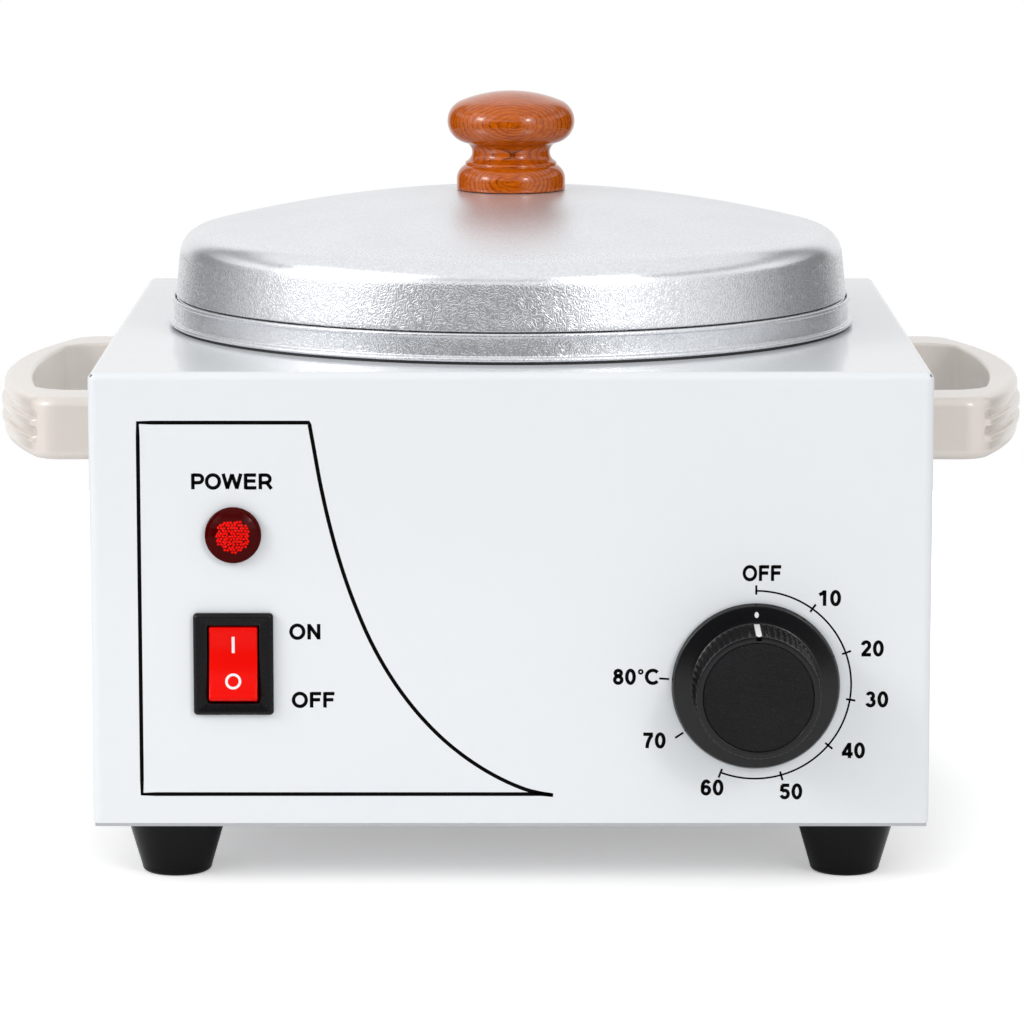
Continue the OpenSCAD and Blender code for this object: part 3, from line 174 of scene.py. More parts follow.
# %% Turning an outline
def turned(name, outline, place, around=288, torus=False, bulge=None):
    """Point (a, i) = place(r cos a, r sin a, h), with (r, h) from outline[i], plus bulge(a, r, h) outward."""
    a = np.linspace(0, 2 * np.pi, around, endpoint=False)[None, :]
    r, h = outline[:, :1], outline[:, 1:]
    if bulge is not None:
        r = r + bulge(a, r, h)
    x, y, z = np.broadcast_arrays(r * np.cos(a), r * np.sin(a), h)
    return skin(name, place(x, y, z), torus)

def standing(x, y, z):
    """Axis up through the middle of the box, heights above the top plane."""
    return np.stack([x, mid_y + y, top_z + z], -1)

def facing(centre_x, centre_z):
    """Axis out of the front panel at (centre_x, centre_z), heights in front of the panel."""
    return lambda x, y, z: np.stack([centre_x + x, front_y - z, centre_z + y], -1)

# %% [markdown]
# ## The lid
# The lid is spun from aluminium sheet: a shallow dome, a tight shoulder and a skirt
# that leans in a little. The dome, the shoulder and the skirt run into each other
# without a crease, so the arcs share their tangents.

# %% Lid
dome_r, shoulder_r, lean, sheet = 373.0, 8.0, math.radians(6.15), 1.2
lid_top, lid_edge = 39.3, np.array([98.3, 8.8])
dome_low = lid_top - dome_r
up_skirt = np.array([-math.sin(lean), math.cos(lean)])
inward = np.array([-math.cos(lean), -math.sin(lean)])

def shoulder_centre():
    """Centre C on a line beside the skirt: |C - dome's centre| = dome radius - shoulder radius."""
    start = lid_edge - [0, dome_low] + shoulder_r * inward
    along = start @ up_skirt
    reach = -along + math.sqrt(along ** 2 - start @ start + (dome_r - shoulder_r) ** 2)
    return start + reach * up_skirt + [0, dome_low]

shoulder = shoulder_centre()
meet = math.degrees(math.atan2(shoulder[1] - dome_low, shoulder[0]))

def lid_line(inset):
    """From the knob's hole over the dome and the shoulder, down the skirt to its edge."""
    dome = arc((0, dome_low), dome_r - inset, 90 - math.degrees(2.25 / dome_r), meet, 60)
    corner = arc(shoulder, shoulder_r - inset, meet, math.degrees(lean), 20)
    foot = corner[-1] - up_skirt * (corner[-1][1] - lid_edge[1]) / up_skirt[1]
    return np.vstack([dome, corner[1:], foot])

outer, inner = lid_line(0), lid_line(sheet)
edge = rounded([outer[-2], outer[-1], inner[-1], inner[-2]], [0, 0.4, 0.4, 0])[1:-1]
lid_outline = even(np.vstack([outer[:-1], edge, inner[:-1][::-1]]), 1.6, closed=True)
lid = turned("lid_spun", lid_outline, standing, 360, torus=True)
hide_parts("lid")
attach(lid, "lid")
print("shoulder centre:", shoulder.round(2), "lid outline points:", len(lid_outline))

# %% [markdown]
# ## The well and the pot
# The heated well is a deep cup. Its flat ledge turns down into the bright band round
# the lid, and the band ends in a small flare that presses on the seal. The pot hangs
# in the well by its rim, which shows as the thin bright line under the lid.

# %% Well and pot
band_r, lip_low, lip_top = 98.9, 7.0, 8.5
well_outline = even(rounded(
    [(0, -92), (86.5, -92), (86.5, lip_low), (98.4, lip_low), (98.4, lip_top), (99.4, lip_top),
     (99.4, 7.5), (band_r, 7.25), (band_r, 2), (100.4, 2), (100.4, 0.8), (97.7, 0.8), (97.7, 5.8),
     (87.7, 5.8), (87.7, -93.2), (0, -93.2)],
    [0, 8, 0.8, 0.2, 0.45, 0.45, 0.4, 0.2, 0.4, 0.55, 0.55, 0.3, 0.3, 0.3, 9.2, 0]), 2.5)
well = turned("well_spun", well_outline, standing, 360)
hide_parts("heating_well")
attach(well, "housing")

pot_outline = even(rounded(
    [(0, -90.3), (84.8, -90.3), (84.8, 8.5), (98.1, 8.5), (98.1, 7.3), (86, 7.3), (86, -91.5), (0, -91.5)],
    [0, 6.8, 0.9, 0.55, 0.55, 0.4, 8, 0]), 2.5)
pot = turned("pot_spun", pot_outline, standing, 360)
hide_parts("wax_pot")
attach(pot, "pot")
print("well faces:", len(well.data.polygons), "pot faces:", len(pot.data.polygons))

# %% [markdown]
# ## The knob
# The knob is turned from one piece of wood. Reading the outline from the top: a
# shallow crown, the full round edge of the cap, a hollow neck, a fine bead and the
# base with its round shoulder. Neighbouring arcs meet on the line between their
# centres, so each centre follows from the two sizes that touch it.

# %% Knob
knob_seat = box_mm("lid_knob")[0][2] - top_z
knob_h, cap_edge, neck_r, neck_h = 28.7, 6.4, 11.4, 10.8
cap, bead_r, bead_x, foot_r = np.array([12.2, 19.9]), 1.1, 12.3, 15.9
base, base_round = np.array([11.1, 2.9]), 4.8
crown_up = knob_h - cap[1]
crown_r = (cap[0] ** 2 + crown_up ** 2 - cap_edge ** 2) / (2 * (crown_up - cap_edge))
inset, drop = cap - [neck_r, neck_h]
hollow = (inset ** 2 + drop ** 2 - cap_edge ** 2) / (2 * (cap_edge + inset))
neck = np.array([neck_r + hollow, neck_h])
bead = np.array([bead_x, neck_h - math.sqrt((hollow + bead_r) ** 2 - (neck[0] - bead_x) ** 2)])

def heading(start, end):
    """Direction from one centre to the next, in degrees."""
    return math.degrees(math.atan2(end[1] - start[1], end[0] - start[0]))

def crossing(a, ra, b, rb):
    """Outer point where two circles cross: along a to b by (d^2 + ra^2 - rb^2) / 2d, then square to it."""
    apart = np.linalg.norm(b - a)
    along = (apart ** 2 + ra ** 2 - rb ** 2) / (2 * apart)
    unit = (b - a) / apart
    return a + along * unit + math.sqrt(ra ** 2 - along ** 2) * np.array([-unit[1], unit[0]])

crown = np.array([0, knob_h - crown_r])
groove = crossing(bead, bead_r, base, base_round)
knob_line = np.vstack([
    arc(crown, crown_r, 90, heading(crown, cap), 24),
    arc(cap, cap_edge, heading(crown, cap), heading(cap, neck), 36)[1:],
    arc(neck, hollow, heading(neck, cap), heading(neck, bead) + 360, 24)[1:],
    arc(bead, bead_r, heading(bead, neck), heading(bead, groove), 12)[1:],
    arc(base, base_round, heading(base, groove), 0, 20)[1:],
    rounded([(foot_r, 2.5), (foot_r, 0), (11, 0), (11, 1), (2, 1), (2, 15), (0, 15)],
            [0, 0.4, 0.3, 0.2, 0.2, 0.2, 0])])
knob = turned("knob_turned", even(knob_line + [0, knob_seat], 0.7), standing, 192)
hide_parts("lid_knob")
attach(knob, "lid")
print("knob height:", round(float(knob_line[:, 1].max()), 2), "groove at", groove.round(2))

# %% [markdown]
# ## The handles
# A handle is a rounded bar carried round the finger gap. Its outside runs straight out
# of the box, turns a corner and goes on in one wide bow, and so does the gap. Two ribs
# lie round the grip, each under a shallow pocket.

# %% Outline of a handle
def bowed(reach, half_span, bow_r, corner_r):
    """Leg, corner and bow. The corner's centre lies bow_r - corner_r from the bow's centre."""
    bow_x, corner_y = reach - bow_r, half_span - corner_r
    corner_x = bow_x + math.sqrt((bow_r - corner_r) ** 2 - corner_y ** 2)
    turn = math.degrees(math.atan2(corner_y, corner_x - bow_x))
    half = np.vstack([[(0, half_span)], arc((corner_x, corner_y), corner_r, 90, turn, 16),
                      arc((bow_x, 0), bow_r, turn, 0, 60)[1:]])
    return even(np.vstack([half, half[-2::-1] * [1, -1]])[::-1], 0.8)

def within(points, reach, half_span, bow_r, corner_r):
    """Below 0 inside the bowed outline: the larger of both distances, rounded off by corner_r."""
    over = np.abs(points[:, 1]) - half_span
    out = np.hypot(points[:, 0] - reach + bow_r, points[:, 1]) - bow_r
    near = np.hypot(np.maximum(over + corner_r, 0), np.maximum(out + corner_r, 0)) - corner_r
    return np.where((over > -corner_r) & (out > -corner_r), near, np.maximum(over, out))

# reach, half the span, radius of the bow and of the corner
finger_gap = (24.8, 52.5, 230.0, 9.0)
outside = bowed(33.5, 71.3, 172.0, 9.0)
# lines fan out from the box to the outside; halving finds where each of them leaves the gap
start, low, high = outside * [0, 0.70], np.zeros(len(outside)), np.ones(len(outside))
for _ in range(30):
    middle = (low + high) / 2
    in_gap = within(start + (outside - start) * middle[:, None], *finger_gap) < 0
    low, high = np.where(in_gap, middle, low), np.where(in_gap, high, middle)
inside = start + (outside - start) * low[:, None]
width = np.linalg.norm(outside - inside, axis=1)
along = (outside - inside) / width[:, None]
run = np.concatenate([[0], np.cumsum(np.linalg.norm(np.diff(outside, axis=0), axis=1))])
run = run - run[-1] / 2
print("handle outline:", len(outside), "stations, wall up to", width.max().round(1), "mm")

# %% Handles
handle_low, handle_high = box_mm("handle_right")
tall = handle_high[2] - handle_low[2]
inner_r, outer_r = 1.2, 2.6
quarter = np.radians(np.linspace(0, 90, 9))
flat = np.linspace(0, 1, 11)[1:-1]
face_z = np.linspace(outer_r, tall - outer_r, 92)[1:-1]
# the section from the gap under to the outside and back over the top: side, distance out, height
parts = [(0, inner_r * (1 - np.cos(quarter)), inner_r * (1 - np.sin(quarter))),
         (flat, inner_r * (1 - flat) - outer_r * flat, 0 * flat),
         (1, outer_r * (np.sin(quarter) - 1), outer_r * (1 - np.cos(quarter))),
         (1, 0 * face_z, face_z),
         (1, outer_r * (np.cos(quarter) - 1), tall + outer_r * (np.sin(quarter) - 1)),
         (flat[::-1], inner_r * flat - outer_r * flat[::-1], tall + 0 * flat),
         (0, inner_r * (1 - np.sin(quarter)), tall + inner_r * (np.cos(quarter) - 1)),
         (0, 0 * flat, tall - inner_r - (tall - 2 * inner_r) * flat)]
side = np.concatenate([np.broadcast_to(s, o.shape) for s, o, _ in parts])
off, up = (np.concatenate([part[k] for part in parts]) for k in (1, 2))

def soft_box(distance, edge):
    """1 inside, 0 outside, with a smooth slope as wide as edge."""
    s = np.clip(0.5 - distance / edge, 0, 1)
    return s * s * (3 - 2 * s)

# half the length of the ribs round the grip, then height, corner radius, distance from the
# end and width of the edge, and middle and half width of each rib and of each pocket
rib_run = 70.8
rib_form = (0.75, 0.3, 0.6, 0.6, ((5.65, 0.8), (10.25, 1.0)))
pocket_form = (0.85, 0.8, 1.0, 0.8, ((7.9, 1.35), (12.6, 1.3)))

def ribs(s, z):
    """Height added to the outside: two ribs proud of it, and a pocket sunk above each of them."""
    heights = []
    for most, corner, run_out, edge, places in (rib_form, pocket_form):
        beyond = np.maximum(run_out - (rib_run - np.abs(s)), 0)
        away = [np.hypot(np.maximum(np.abs(z - middle) - half + corner, 0), beyond) for middle, half in places]
        heights.append(most * soft_box(np.minimum(*away) - corner, edge))
    proud, pocket = heights
    return proud - pocket * (1 - proud / rib_form[0])

bump = ribs(run[:, None], up[None, :]) * (side == 1) * (np.abs(off) < 0.01)
spot = inside[:, None] + along[:, None] * (side * width[:, None] + off + bump)[..., None]
handles = []
for name, sign in (("right", 1), ("left", -1)):
    rows = np.stack([sign * (house_high[0] + spot[..., 0]), mid_y + spot[..., 1],
                     np.broadcast_to(handle_low[2] + up, spot.shape[:2])], -1)
    handle = skin("handle_moulded_" + name, capped(rows))
    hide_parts("handle_" + name)
    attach(handle, "housing")
    handles.append(handle)
print("handle faces:", len(handle.data.polygons), "run:", round(float(run[-1] * 2), 1), "mm")

# %% [markdown]
# ## The dial
# The dial is one moulding: a flat skirt, a grip with sixty fine flutes and a rim round
# a recessed disc. The flutes are valleys in the radius where a sine is near zero. They
# fade out at both ends of the grip.

# %% Dial
dial_x, dial_z = centre_of("dial_knob")
skirt_edge, grip_foot, grip_top = (22.5, 3), (17.62, 3.66), (17.0, 18)
flute_deep, flute_low, fade = 0.6, 3.7, 0.6
dial_line = even(rounded(
    [(0, 14.5), (3.03, 14.5), (3.03, 2.8), (5.5, 2.8), (5.5, 15), (15.2, 15), (15.2, 1), (22.7, 1),
     (23.1, 1.6), skirt_edge, grip_foot, grip_top, (15.1, 18), (15.1, 17), (0, 17)],
    [0, 0.2, 0.2, 0.2, 0.3, 0.3, 0.3, 0.15, 0.25, 0.3, 0.35, 0.45, 0.25, 0.15, 0]), 0.9)

def flutes(a, r, h):
    """Sixty valleys on the outside of the grip, 0.6 (1 - |sin 30 a|)^0.8 mm deep."""
    on_grip = (r > 16.2) * np.clip((h - flute_low) / fade, 0, 1) * np.clip((grip_top[1] - h) / fade, 0, 1)
    return -flute_deep * (1 - np.abs(np.sin(30 * a))) ** 0.8 * on_grip

dial = turned("dial_moulded", dial_line, facing(dial_x, dial_z), 480, bulge=flutes)
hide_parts("dial_knob")
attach(dial, "dial")

face_line = even(rounded([(0, 17.02), (15, 17.02), (15, 17.72), (0, 17.72)], [0, 0.1, 0.2, 0]), 1)
face = turned("dial_face", face_line, facing(dial_x, dial_z), 192)
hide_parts("dial_insert")
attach(face, "dial")
print("dial axis:", round(dial_x, 2), round(dial_z, 2), "faces:", len(dial.data.polygons))

# %% [markdown]
# ## The switch
# The frame of the rocker switch is a nest of rounded rectangles: the body behind the
# panel, the proud bezel with its bevel, a face that slopes a little towards the
# rocker, and the walls of the opening. The rocker is a concave outline carried along
# its pin, with the ends drawn in by a quarter circle.

# %% Switch frame
def rectangle(w, h, r, per_corner=8, per_side=12):
    """Four quarter arcs joined by straight sides, always with the same number of points."""
    turns = np.radians(np.array([0, 90, 180, 270])[:, None] + np.linspace(0, 90, per_corner))
    centres = np.array([(1, 1), (-1, 1), (-1, -1), (1, -1)]) * [w / 2 - r, h / 2 - r]
    corner = centres[:, None] + r * np.stack([np.cos(turns), np.sin(turns)], -1)
    after = np.roll(corner, -1, 0)[:, :1]
    s = np.linspace(0, 1, per_side + 1, endpoint=False)[1:, None]
    straight = corner[:, -1:] * (1 - s) + after * s
    return np.concatenate([corner, straight], 1).reshape(-1, 2)

switch_x, switch_z = centre_of("switch_frame")
# width, height, corner and distance in front of the panel, from the back of the body to the
# back of the opening
levels = [(18.1, 25.2, 0.6, -18), (18.1, 25.2, 0.6, -17.8), (18.1, 25.2, 0.6, -0.05),
          (21.6, 28.0, 1.0, 0.0), (21.9, 28.3, 1.1, 0.15), (21.9, 28.3, 1.1, 1.05),
          (21.84, 28.24, 1.08, 1.2), (21.7, 28.1, 1.0, 1.36), (20.5, 26.9, 0.7, 1.88),
          (20.25, 26.65, 0.65, 1.96), (19.9, 26.3, 0.6, 1.985), (19.5, 25.9, 0.6, 1.975),
          (15.2, 22.5, 0.5, 1.62), (14.7, 22.0, 0.5, 1.56), (14.35, 21.65, 0.45, 1.45),
          (14.15, 21.45, 0.4, 1.2), (14.1, 21.4, 0.4, 0.9), (14.1, 21.4, 0.4, -4.4),
          (14.0, 21.3, 0.4, -4.5)]
rings = capped(np.stack([np.insert(rectangle(w, h, r), 2, out, axis=1) for w, h, r, out in levels]))
bezel = skin("switch_bezel", facing(switch_x, switch_z)(*np.moveaxis(rings, -1, 0)))
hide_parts("switch_frame")
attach(bezel, "housing")
print("bezel faces:", len(bezel.data.polygons))

# %% Rocker
pin_y, tilt = -109.8, math.radians(-9)
face_r, face_out, end_r, wide = 33.03, 2, 10.4, 13.2
corner_out, corner_h = 3.6, 9.77
tip = math.degrees(math.atan2(corner_h, corner_out)) + 5.5
back = math.degrees(math.acos(-2.4 / end_r))
sweep = math.degrees(math.asin(corner_h / face_r)) - 2.0
lower_end, upper_end = arc((0, 0), end_r, tip, back, 10), arc((0, 0), end_r, -back, -tip, 10)
hollow_face = arc((face_out + face_r, 0), face_r, 180 + sweep, 180 - sweep, 30)

def blunt(start, corner, end):
    """Rounded corner: the parabola from start to end that heads for the corner."""
    s = np.linspace(0, 1, 8)[1:-1, None]
    return start * (1 - s) ** 2 + 2 * np.array(corner) * s * (1 - s) + end * s ** 2

rocker_line = np.vstack([lower_end, upper_end, blunt(upper_end[-1], (corner_out, -corner_h), hollow_face[0]),
                         hollow_face, blunt(hollow_face[-1], (corner_out, corner_h), lower_end[0])])
rocker_line = even(rocker_line, 0.6, closed=True)

def tipped(x, out, height):
    """A point of the rocker, out in front of its pin, turned about the pin to its rest place."""
    y = -out * math.cos(tilt) - height * math.sin(tilt)
    z = -out * math.sin(tilt) + height * math.cos(tilt)
    return np.stack(np.broadcast_arrays(switch_x + x, pin_y + y, switch_z + z), -1)

def bar(line, wide, edge, place, steps=6):
    """A closed outline carried along x. The last edge mm of each end follow a quarter circle inward."""
    ahead, behind = np.roll(line, -1, 0), np.roll(line, 1, 0)
    normal = (ahead - behind)[:, ::-1] * [1, -1]
    normal /= np.linalg.norm(normal, axis=1, keepdims=True)
    if ((line - line.mean(0)) * normal).sum() > 0:
        normal = -normal
    near_end = edge * (1 - np.cos(np.radians(np.linspace(0, 90, steps + 1)))) - wide / 2
    x = np.concatenate([near_end, np.linspace(edge - wide / 2, wide / 2 - edge, 14)[1:-1], -near_end[::-1]])
    into = np.clip(np.abs(x) - wide / 2 + edge, 0, edge) / edge
    drawn = edge * (1 - np.sqrt(1 - into ** 2))
    section = line[None] + normal[None] * drawn[:, None, None]
    return capped(place(x[:, None], section[..., 0], section[..., 1]))

rocker = skin("rocker_moulded", bar(rocker_line, wide, 0.45, tipped))
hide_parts("rocker")
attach(rocker, "rocker")
print("rocker faces:", len(rocker.data.polygons))

# %% [markdown]
# The marks on the rocker are thin printed shapes that follow the hollow face: a bar
# for on and a ring for off. Each is a small grid in the face's own coordinates, x
# across and s along the hollow.

# %% Marks on the rocker
ink = 0.03

def sheet_mesh(name, grid, closed=False):
    """Open mesh over grid[i, j]; closed joins the last column to the first."""
    count, across = grid.shape[:2]
    at = np.arange(count * across).reshape(count, across)
    if closed:
        at = np.hstack([at, at[:, :1]])
    quads = np.stack([at[:-1, :-1], at[:-1, 1:], at[1:, 1:], at[1:, :-1]], -1).reshape(-1, 4)
    points = grid.reshape(-1, 3)
    a, b, c = (points[quads[:, k]] for k in range(3))
    if np.cross(b - a, c - a)[:, 1].sum() > 0:
        quads = quads[:, ::-1]
    return mesh_piece(name, points, quads.tolist())

def on_hollow(x, s):
    """Point (x, s) of the hollow face, s mm along it from its middle, and proud by the ink."""
    turn, r = s / face_r, face_r - ink
    return tipped(x, face_out + face_r - r * np.cos(turn), r * np.sin(turn))

u, v = np.meshgrid(np.linspace(-0.4, 0.4, 3), np.linspace(2.9, 7.4, 12))
mark_on = sheet_mesh("mark_on", on_hollow(u, v))
radius, turn = np.meshgrid([1.5, 2.2], np.linspace(0, 2 * np.pi, 49)[:-1], indexing="ij")
mark_off = sheet_mesh("mark_off", on_hollow(radius * np.cos(turn), -4.9 + radius * np.sin(turn)), closed=True)
for mark in (mark_on, mark_off):
    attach(mark, "rocker")

# %% [markdown]
# ## The pilot lamp
# The lens is a low red dome with a field of small beads in its middle, which scatter
# the lamp's light. The beads sit on a six-sided grid, each shaken a little, and a
# named attribute keeps how much of a bead each point is. The finish uses it to paint
# the beads bright red, as painted glow of the lit bulb behind them.

# %% Pilot lamp
lamp_x, lamp_z = centre_of("pilot_lens")
dice = np.random.default_rng(5)
i, j = np.meshgrid(np.arange(-8, 9), np.arange(-8, 9))
beads = np.stack([(i + 0.5 * (j % 2)) * 0.86, j * 0.75], -1).reshape(-1, 2).astype(float)
beads += dice.normal(0, 0.09, beads.shape)
beads = beads[np.linalg.norm(beads, axis=1) < 4.6]

bow_r, front_h, bead_wide, bead_proud = 15.4, 3.8, 0.42, 0.22
radius = np.concatenate([np.linspace(0, 5.1, 46), np.linspace(5.1, 6.8, 8)[1:]])
bow = np.stack([radius, front_h - bow_r + np.sqrt(bow_r ** 2 - radius ** 2)], -1)
rest = rounded([(6.85, 2.2), (7.7, 2.05), (7.7, 0.8), (4.8, 0.8), (4.8, -4), (3.8, -4), (3.8, 2.2), (0, 2.2)],
               [0, 0.5, 0.2, 0.2, 0.2, 0.2, 0.3, 0], steps=5)
lens_line = np.vstack([bow, rest])
a = np.linspace(0, 2 * np.pi, 240, endpoint=False)[None, :]
x, y = lens_line[:, :1] * np.cos(a), lens_line[:, :1] * np.sin(a)
near = np.full(x.shape, 9.0)
to_beads = np.hypot(x[:len(bow), :, None] - beads[:, 0], y[:len(bow), :, None] - beads[:, 1])
near[:len(bow)] = to_beads.min(-1)
dome = np.sqrt(np.clip(1 - (near / bead_wide) ** 2, 0, 1))
rows = facing(lamp_x, lamp_z)(x, y, lens_line[:, 1:] + bead_proud * (dome - 1))
lens = skin("lamp_lens", rows)
bead = lens.data.attributes.new("bead", "FLOAT", "POINT")
bead.data.foreach_set("value", np.append(dome[1:-1].ravel(), [dome[0, 0], 0]).astype(np.float32))
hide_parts("pilot_lens")
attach(lens, "housing")
print("beads:", len(beads), "lens faces:", len(lens.data.polygons))

# %% [markdown]
# ## The printing
# The panel is screen printed in black: an outline round the switch and the lamp, the
# temperature scale and a few words. The lines are narrow strips along a path, and the
# words are drawn as strokes of one width. All of it lies the ink's 0.03 mm in front of
# the enamel, so that the two surfaces never share a plane.

# %% Lines of the print
def on_panel(x, below):
    """Place on the front panel, x and the distance below the top plane."""
    x, below = np.broadcast_arrays(x, below)
    return np.stack([x, np.full(x.shape, front_y - ink), top_z - below], -1)

def strip(name, path, width, closed=False):
    """Two rows, at half the width to either side of the path, square to its direction."""
    path = np.array(path, float)
    if closed:
        run = np.roll(path, -1, 0) - np.roll(path, 1, 0)
    else:
        run = np.gradient(path, axis=0)
    run /= np.linalg.norm(run, axis=1, keepdims=True)
    across = run[:, ::-1] * [1, -1] * width / 2
    grid = np.stack([path + across, path - across])
    return sheet_mesh(name, on_panel(grid[..., 0], grid[..., 1]), closed)

def smooth_path(points):
    """Cubic pieces over the chord length. Each slope is that of the parabola through three neighbours."""
    p = np.array(points, float)
    p = np.vstack([2 * p[0] - p[1], p, 2 * p[-1] - p[-2]])
    chord = np.diff(p, axis=0)
    length = np.linalg.norm(chord, axis=1, keepdims=True)
    pace, before, after = chord / length, length[:-1], length[1:]
    slope = (pace[:-1] * after + pace[1:] * before) / (before + after)
    s = np.linspace(0, 1, 12, endpoint=False)[None, :, None]
    start, end, span = p[1:-2][:, None], p[2:-1][:, None], length[1:-1][:, None]
    q = (start * (1 + 2 * s) * (1 - s) ** 2 + end * s ** 2 * (3 - 2 * s)
         + span * (slope[:-1][:, None] * s * (1 - s) ** 2 - slope[1:][:, None] * s ** 2 * (1 - s)))
    return np.vstack([q.reshape(-1, 2), p[-2:-1]])

swoop = smooth_path([
    (-54.8, 13.7), (-53.72, 19.9), (-51.8, 30.9), (-49.4, 41.9), (-46.41, 52.95), (-42.63, 64.0),
    (-37.92, 75.0), (-31.62, 86.0), (-23.03, 97.0), (-17.45, 102.5), (-10.39, 108.0), (-3.05, 112.42),
    (1.67, 114.62), (4.62, 115.72), (8.3, 116.6), (11.6, 117.15)])
frame_line = even([swoop[-1], (8.5, 116.85), (-101.4, 116.85), (-101.4, 13.7), swoop[0]], 4)
prints = [strip("print_outline", np.vstack([frame_line, swoop[1:-1]]), 1.05, closed=True)]

dial_below = top_z - dial_z
def round_dial(radius, degrees):
    """A place at that distance from the dial's axis, turned clockwise from straight up."""
    t = np.radians(degrees)
    return np.stack(np.broadcast_arrays(dial_x + radius * np.sin(t), dial_below - radius * np.cos(t)), -1)

prints.append(strip("print_scale", round_dial(26.2, np.linspace(0, 201.5, 120)), 0.5))
marks = [(degrees, 25.15, 27.75) for degrees in (0, 36, 70, 99, 130, 164, 201)]
marks += [(degrees, 23.75, 26.45) for degrees in (236, 274)]
for number, (degrees, low, high) in enumerate(marks):
    prints.append(strip("print_tick_%d" % number, round_dial(np.linspace(low, high, 4), degrees), 0.56))

# %% Letter shapes
def curve(x, y, rx, ry, start, end, count=20):
    """Points on an ellipse, angles in degrees."""
    t = np.radians(np.linspace(start, end, count))
    return np.stack([x + rx * np.cos(t), y + ry * np.sin(t)], -1).tolist()

def ring(x, y, rx, ry):
    """A whole ellipse, back to its first point."""
    return curve(x, y, rx, ry, 0, 360, 33)

stem = [(0.2, 0), (0.2, 1)]
bowl = [(0.2, 0.91), *curve(0.56, 0.665, 0.25, 0.245, 90, -90), (0.2, 0.42)]
# each letter: its width, then the middle lines of its strokes, with capitals 1 high
glyphs = {
    "P": (0.93, stem, bowl),
    "R": (1.01, stem, bowl, [(0.52, 0.46), (0.62, 0.40), (0.90, 0.02)]),
    "O": (1.09, ring(0.543, 0.5, 0.405, 0.42)),
    "N": (1.01, stem, [(0.81, 0), (0.81, 1)], [(0.2, 0.93), (0.81, 0.07)]),
    "W": (1.32, [(0.10, 1), (0.37, 0.03)], [(0.35, 0.03), (0.66, 0.97)],
          [(0.66, 0.97), (0.97, 0.03)], [(0.95, 0.03), (1.22, 1)]),
    "E": (0.93, stem, [(0.2, 0.91), (0.86, 0.91)], [(0.2, 0.53), (0.82, 0.53)], [(0.2, 0.09), (0.88, 0.09)]),
    "F": (0.85, stem, [(0.2, 0.91), (0.81, 0.91)], [(0.2, 0.51), (0.74, 0.51)]),
    "C": (1.01, curve(0.53, 0.5, 0.40, 0.42, 42, 318)),
    "0": (0.78, ring(0.388, 0.5, 0.235, 0.42)),
    "1": (0.78, [(0.47, 0), (0.47, 1)], [(0.43, 0.91), (0.32, 0.80), (0.13, 0.71)]),
    "2": (0.78, [*curve(0.385, 0.695, 0.215, 0.225, 175, -35), (0.33, 0.28), (0.20, 0.12)],
          [(0.10, 0.09), (0.70, 0.09)]),
    "3": (0.78, curve(0.37, 0.72, 0.19, 0.195, 165, -90), curve(0.38, 0.30, 0.225, 0.215, 90, -165)),
    "4": (0.78, [(0.50, 0.93), (0.12, 0.30)], [(0.04, 0.27), (0.74, 0.27)], [(0.53, 0), (0.53, 1)]),
    "5": (0.78, [(0.22, 0.90), (0.68, 0.90)], [(0.24, 0.92), (0.19, 0.50)],
          curve(0.385, 0.33, 0.23, 0.24, 140, -160)),
    "6": (0.78, ring(0.39, 0.32, 0.225, 0.235), curve(0.41, 0.5, 0.245, 0.42, 40, 205)),
    "7": (0.78, [(0.09, 0.905), (0.70, 0.905)], [(0.64, 0.86), (0.47, 0.60), (0.36, 0.30), (0.33, 0)]),
    "8": (0.78, ring(0.388, 0.74, 0.19, 0.17), ring(0.388, 0.30, 0.225, 0.215)),
    "°": (0.50, ring(0.26, 0.82, 0.12, 0.12))}

def stroke(path, wide):
    """Corners and faces of a flat ribbon along the path: half the width to either side of it."""
    path = np.array(path, float)
    loop = np.allclose(path[0], path[-1])
    run = np.gradient(path, axis=0)
    if loop:
        run[0] = run[-1] = path[1] - path[-2]
    run /= np.linalg.norm(run, axis=1, keepdims=True)
    across = run[:, ::-1] * [-1, 1] * wide / 2
    k, n = np.arange(len(path) - 1), len(path)
    return np.vstack([path + across, path - across]), np.stack([k, k + 1, n + k + 1, n + k], -1)

print("letter shapes:", len(glyphs))

# %% Words of the print
def word(name, body, centre_x, centre_below, height=4.3, wide=0.222, squeeze=1.0):
    """A printed word, its capitals that high, its middle at that place on the panel."""
    points, faces, pen, total = [], [], 0.0, 0
    for letter in body:
        for path in glyphs[letter][1:]:
            spots, quads = stroke(path, wide * (0.55 if letter == "°" else 1))
            points.append(spots + [pen, 0])
            faces.append(quads + total)
            total += len(spots)
        pen += glyphs[letter][0]
    flat = np.vstack(points) * height * [squeeze, 1]
    flat = flat - (flat.max(0) + flat.min(0)) / 2
    piece = mesh_piece(name, on_panel(centre_x + flat[:, 0], centre_below - flat[:, 1]), np.vstack(faces).tolist())
    if sum(face.area * face.normal.y for face in piece.data.polygons) > 0:
        piece.data.flip_normals()
    return piece

words = [("power", "POWER", -75.9, 29.9), ("on", "ON", -56.35, 71.45), ("off", "OFF", -54.2, 90.45),
         ("dial_off", "OFF", 68.5, 55.2)]
places = [(87.1, 62.1), (98.9, 76.1), (100.3, 90.3), (94.0, 104.6), (77.0, 116.1), (55.3, 115.0),
          (39.4, 101.8), (34.2, 84.0)]
for warmth, place in zip(range(10, 90, 10), places):
    words.append((str(warmth), str(warmth) + ("°C" if warmth == 80 else ""), *place))
prints += [word("print_word_" + name, body, x, below, squeeze=0.9 if name == "dial_off" else 1.0)
           for name, body, x, below in words]
for piece in prints:
    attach(piece, "housing")
print("printed pieces:", len(prints))

# %% [markdown]
# The dial carries two white marks: the line in its slot, which is a CAD part, and a
# small oval on the skirt.

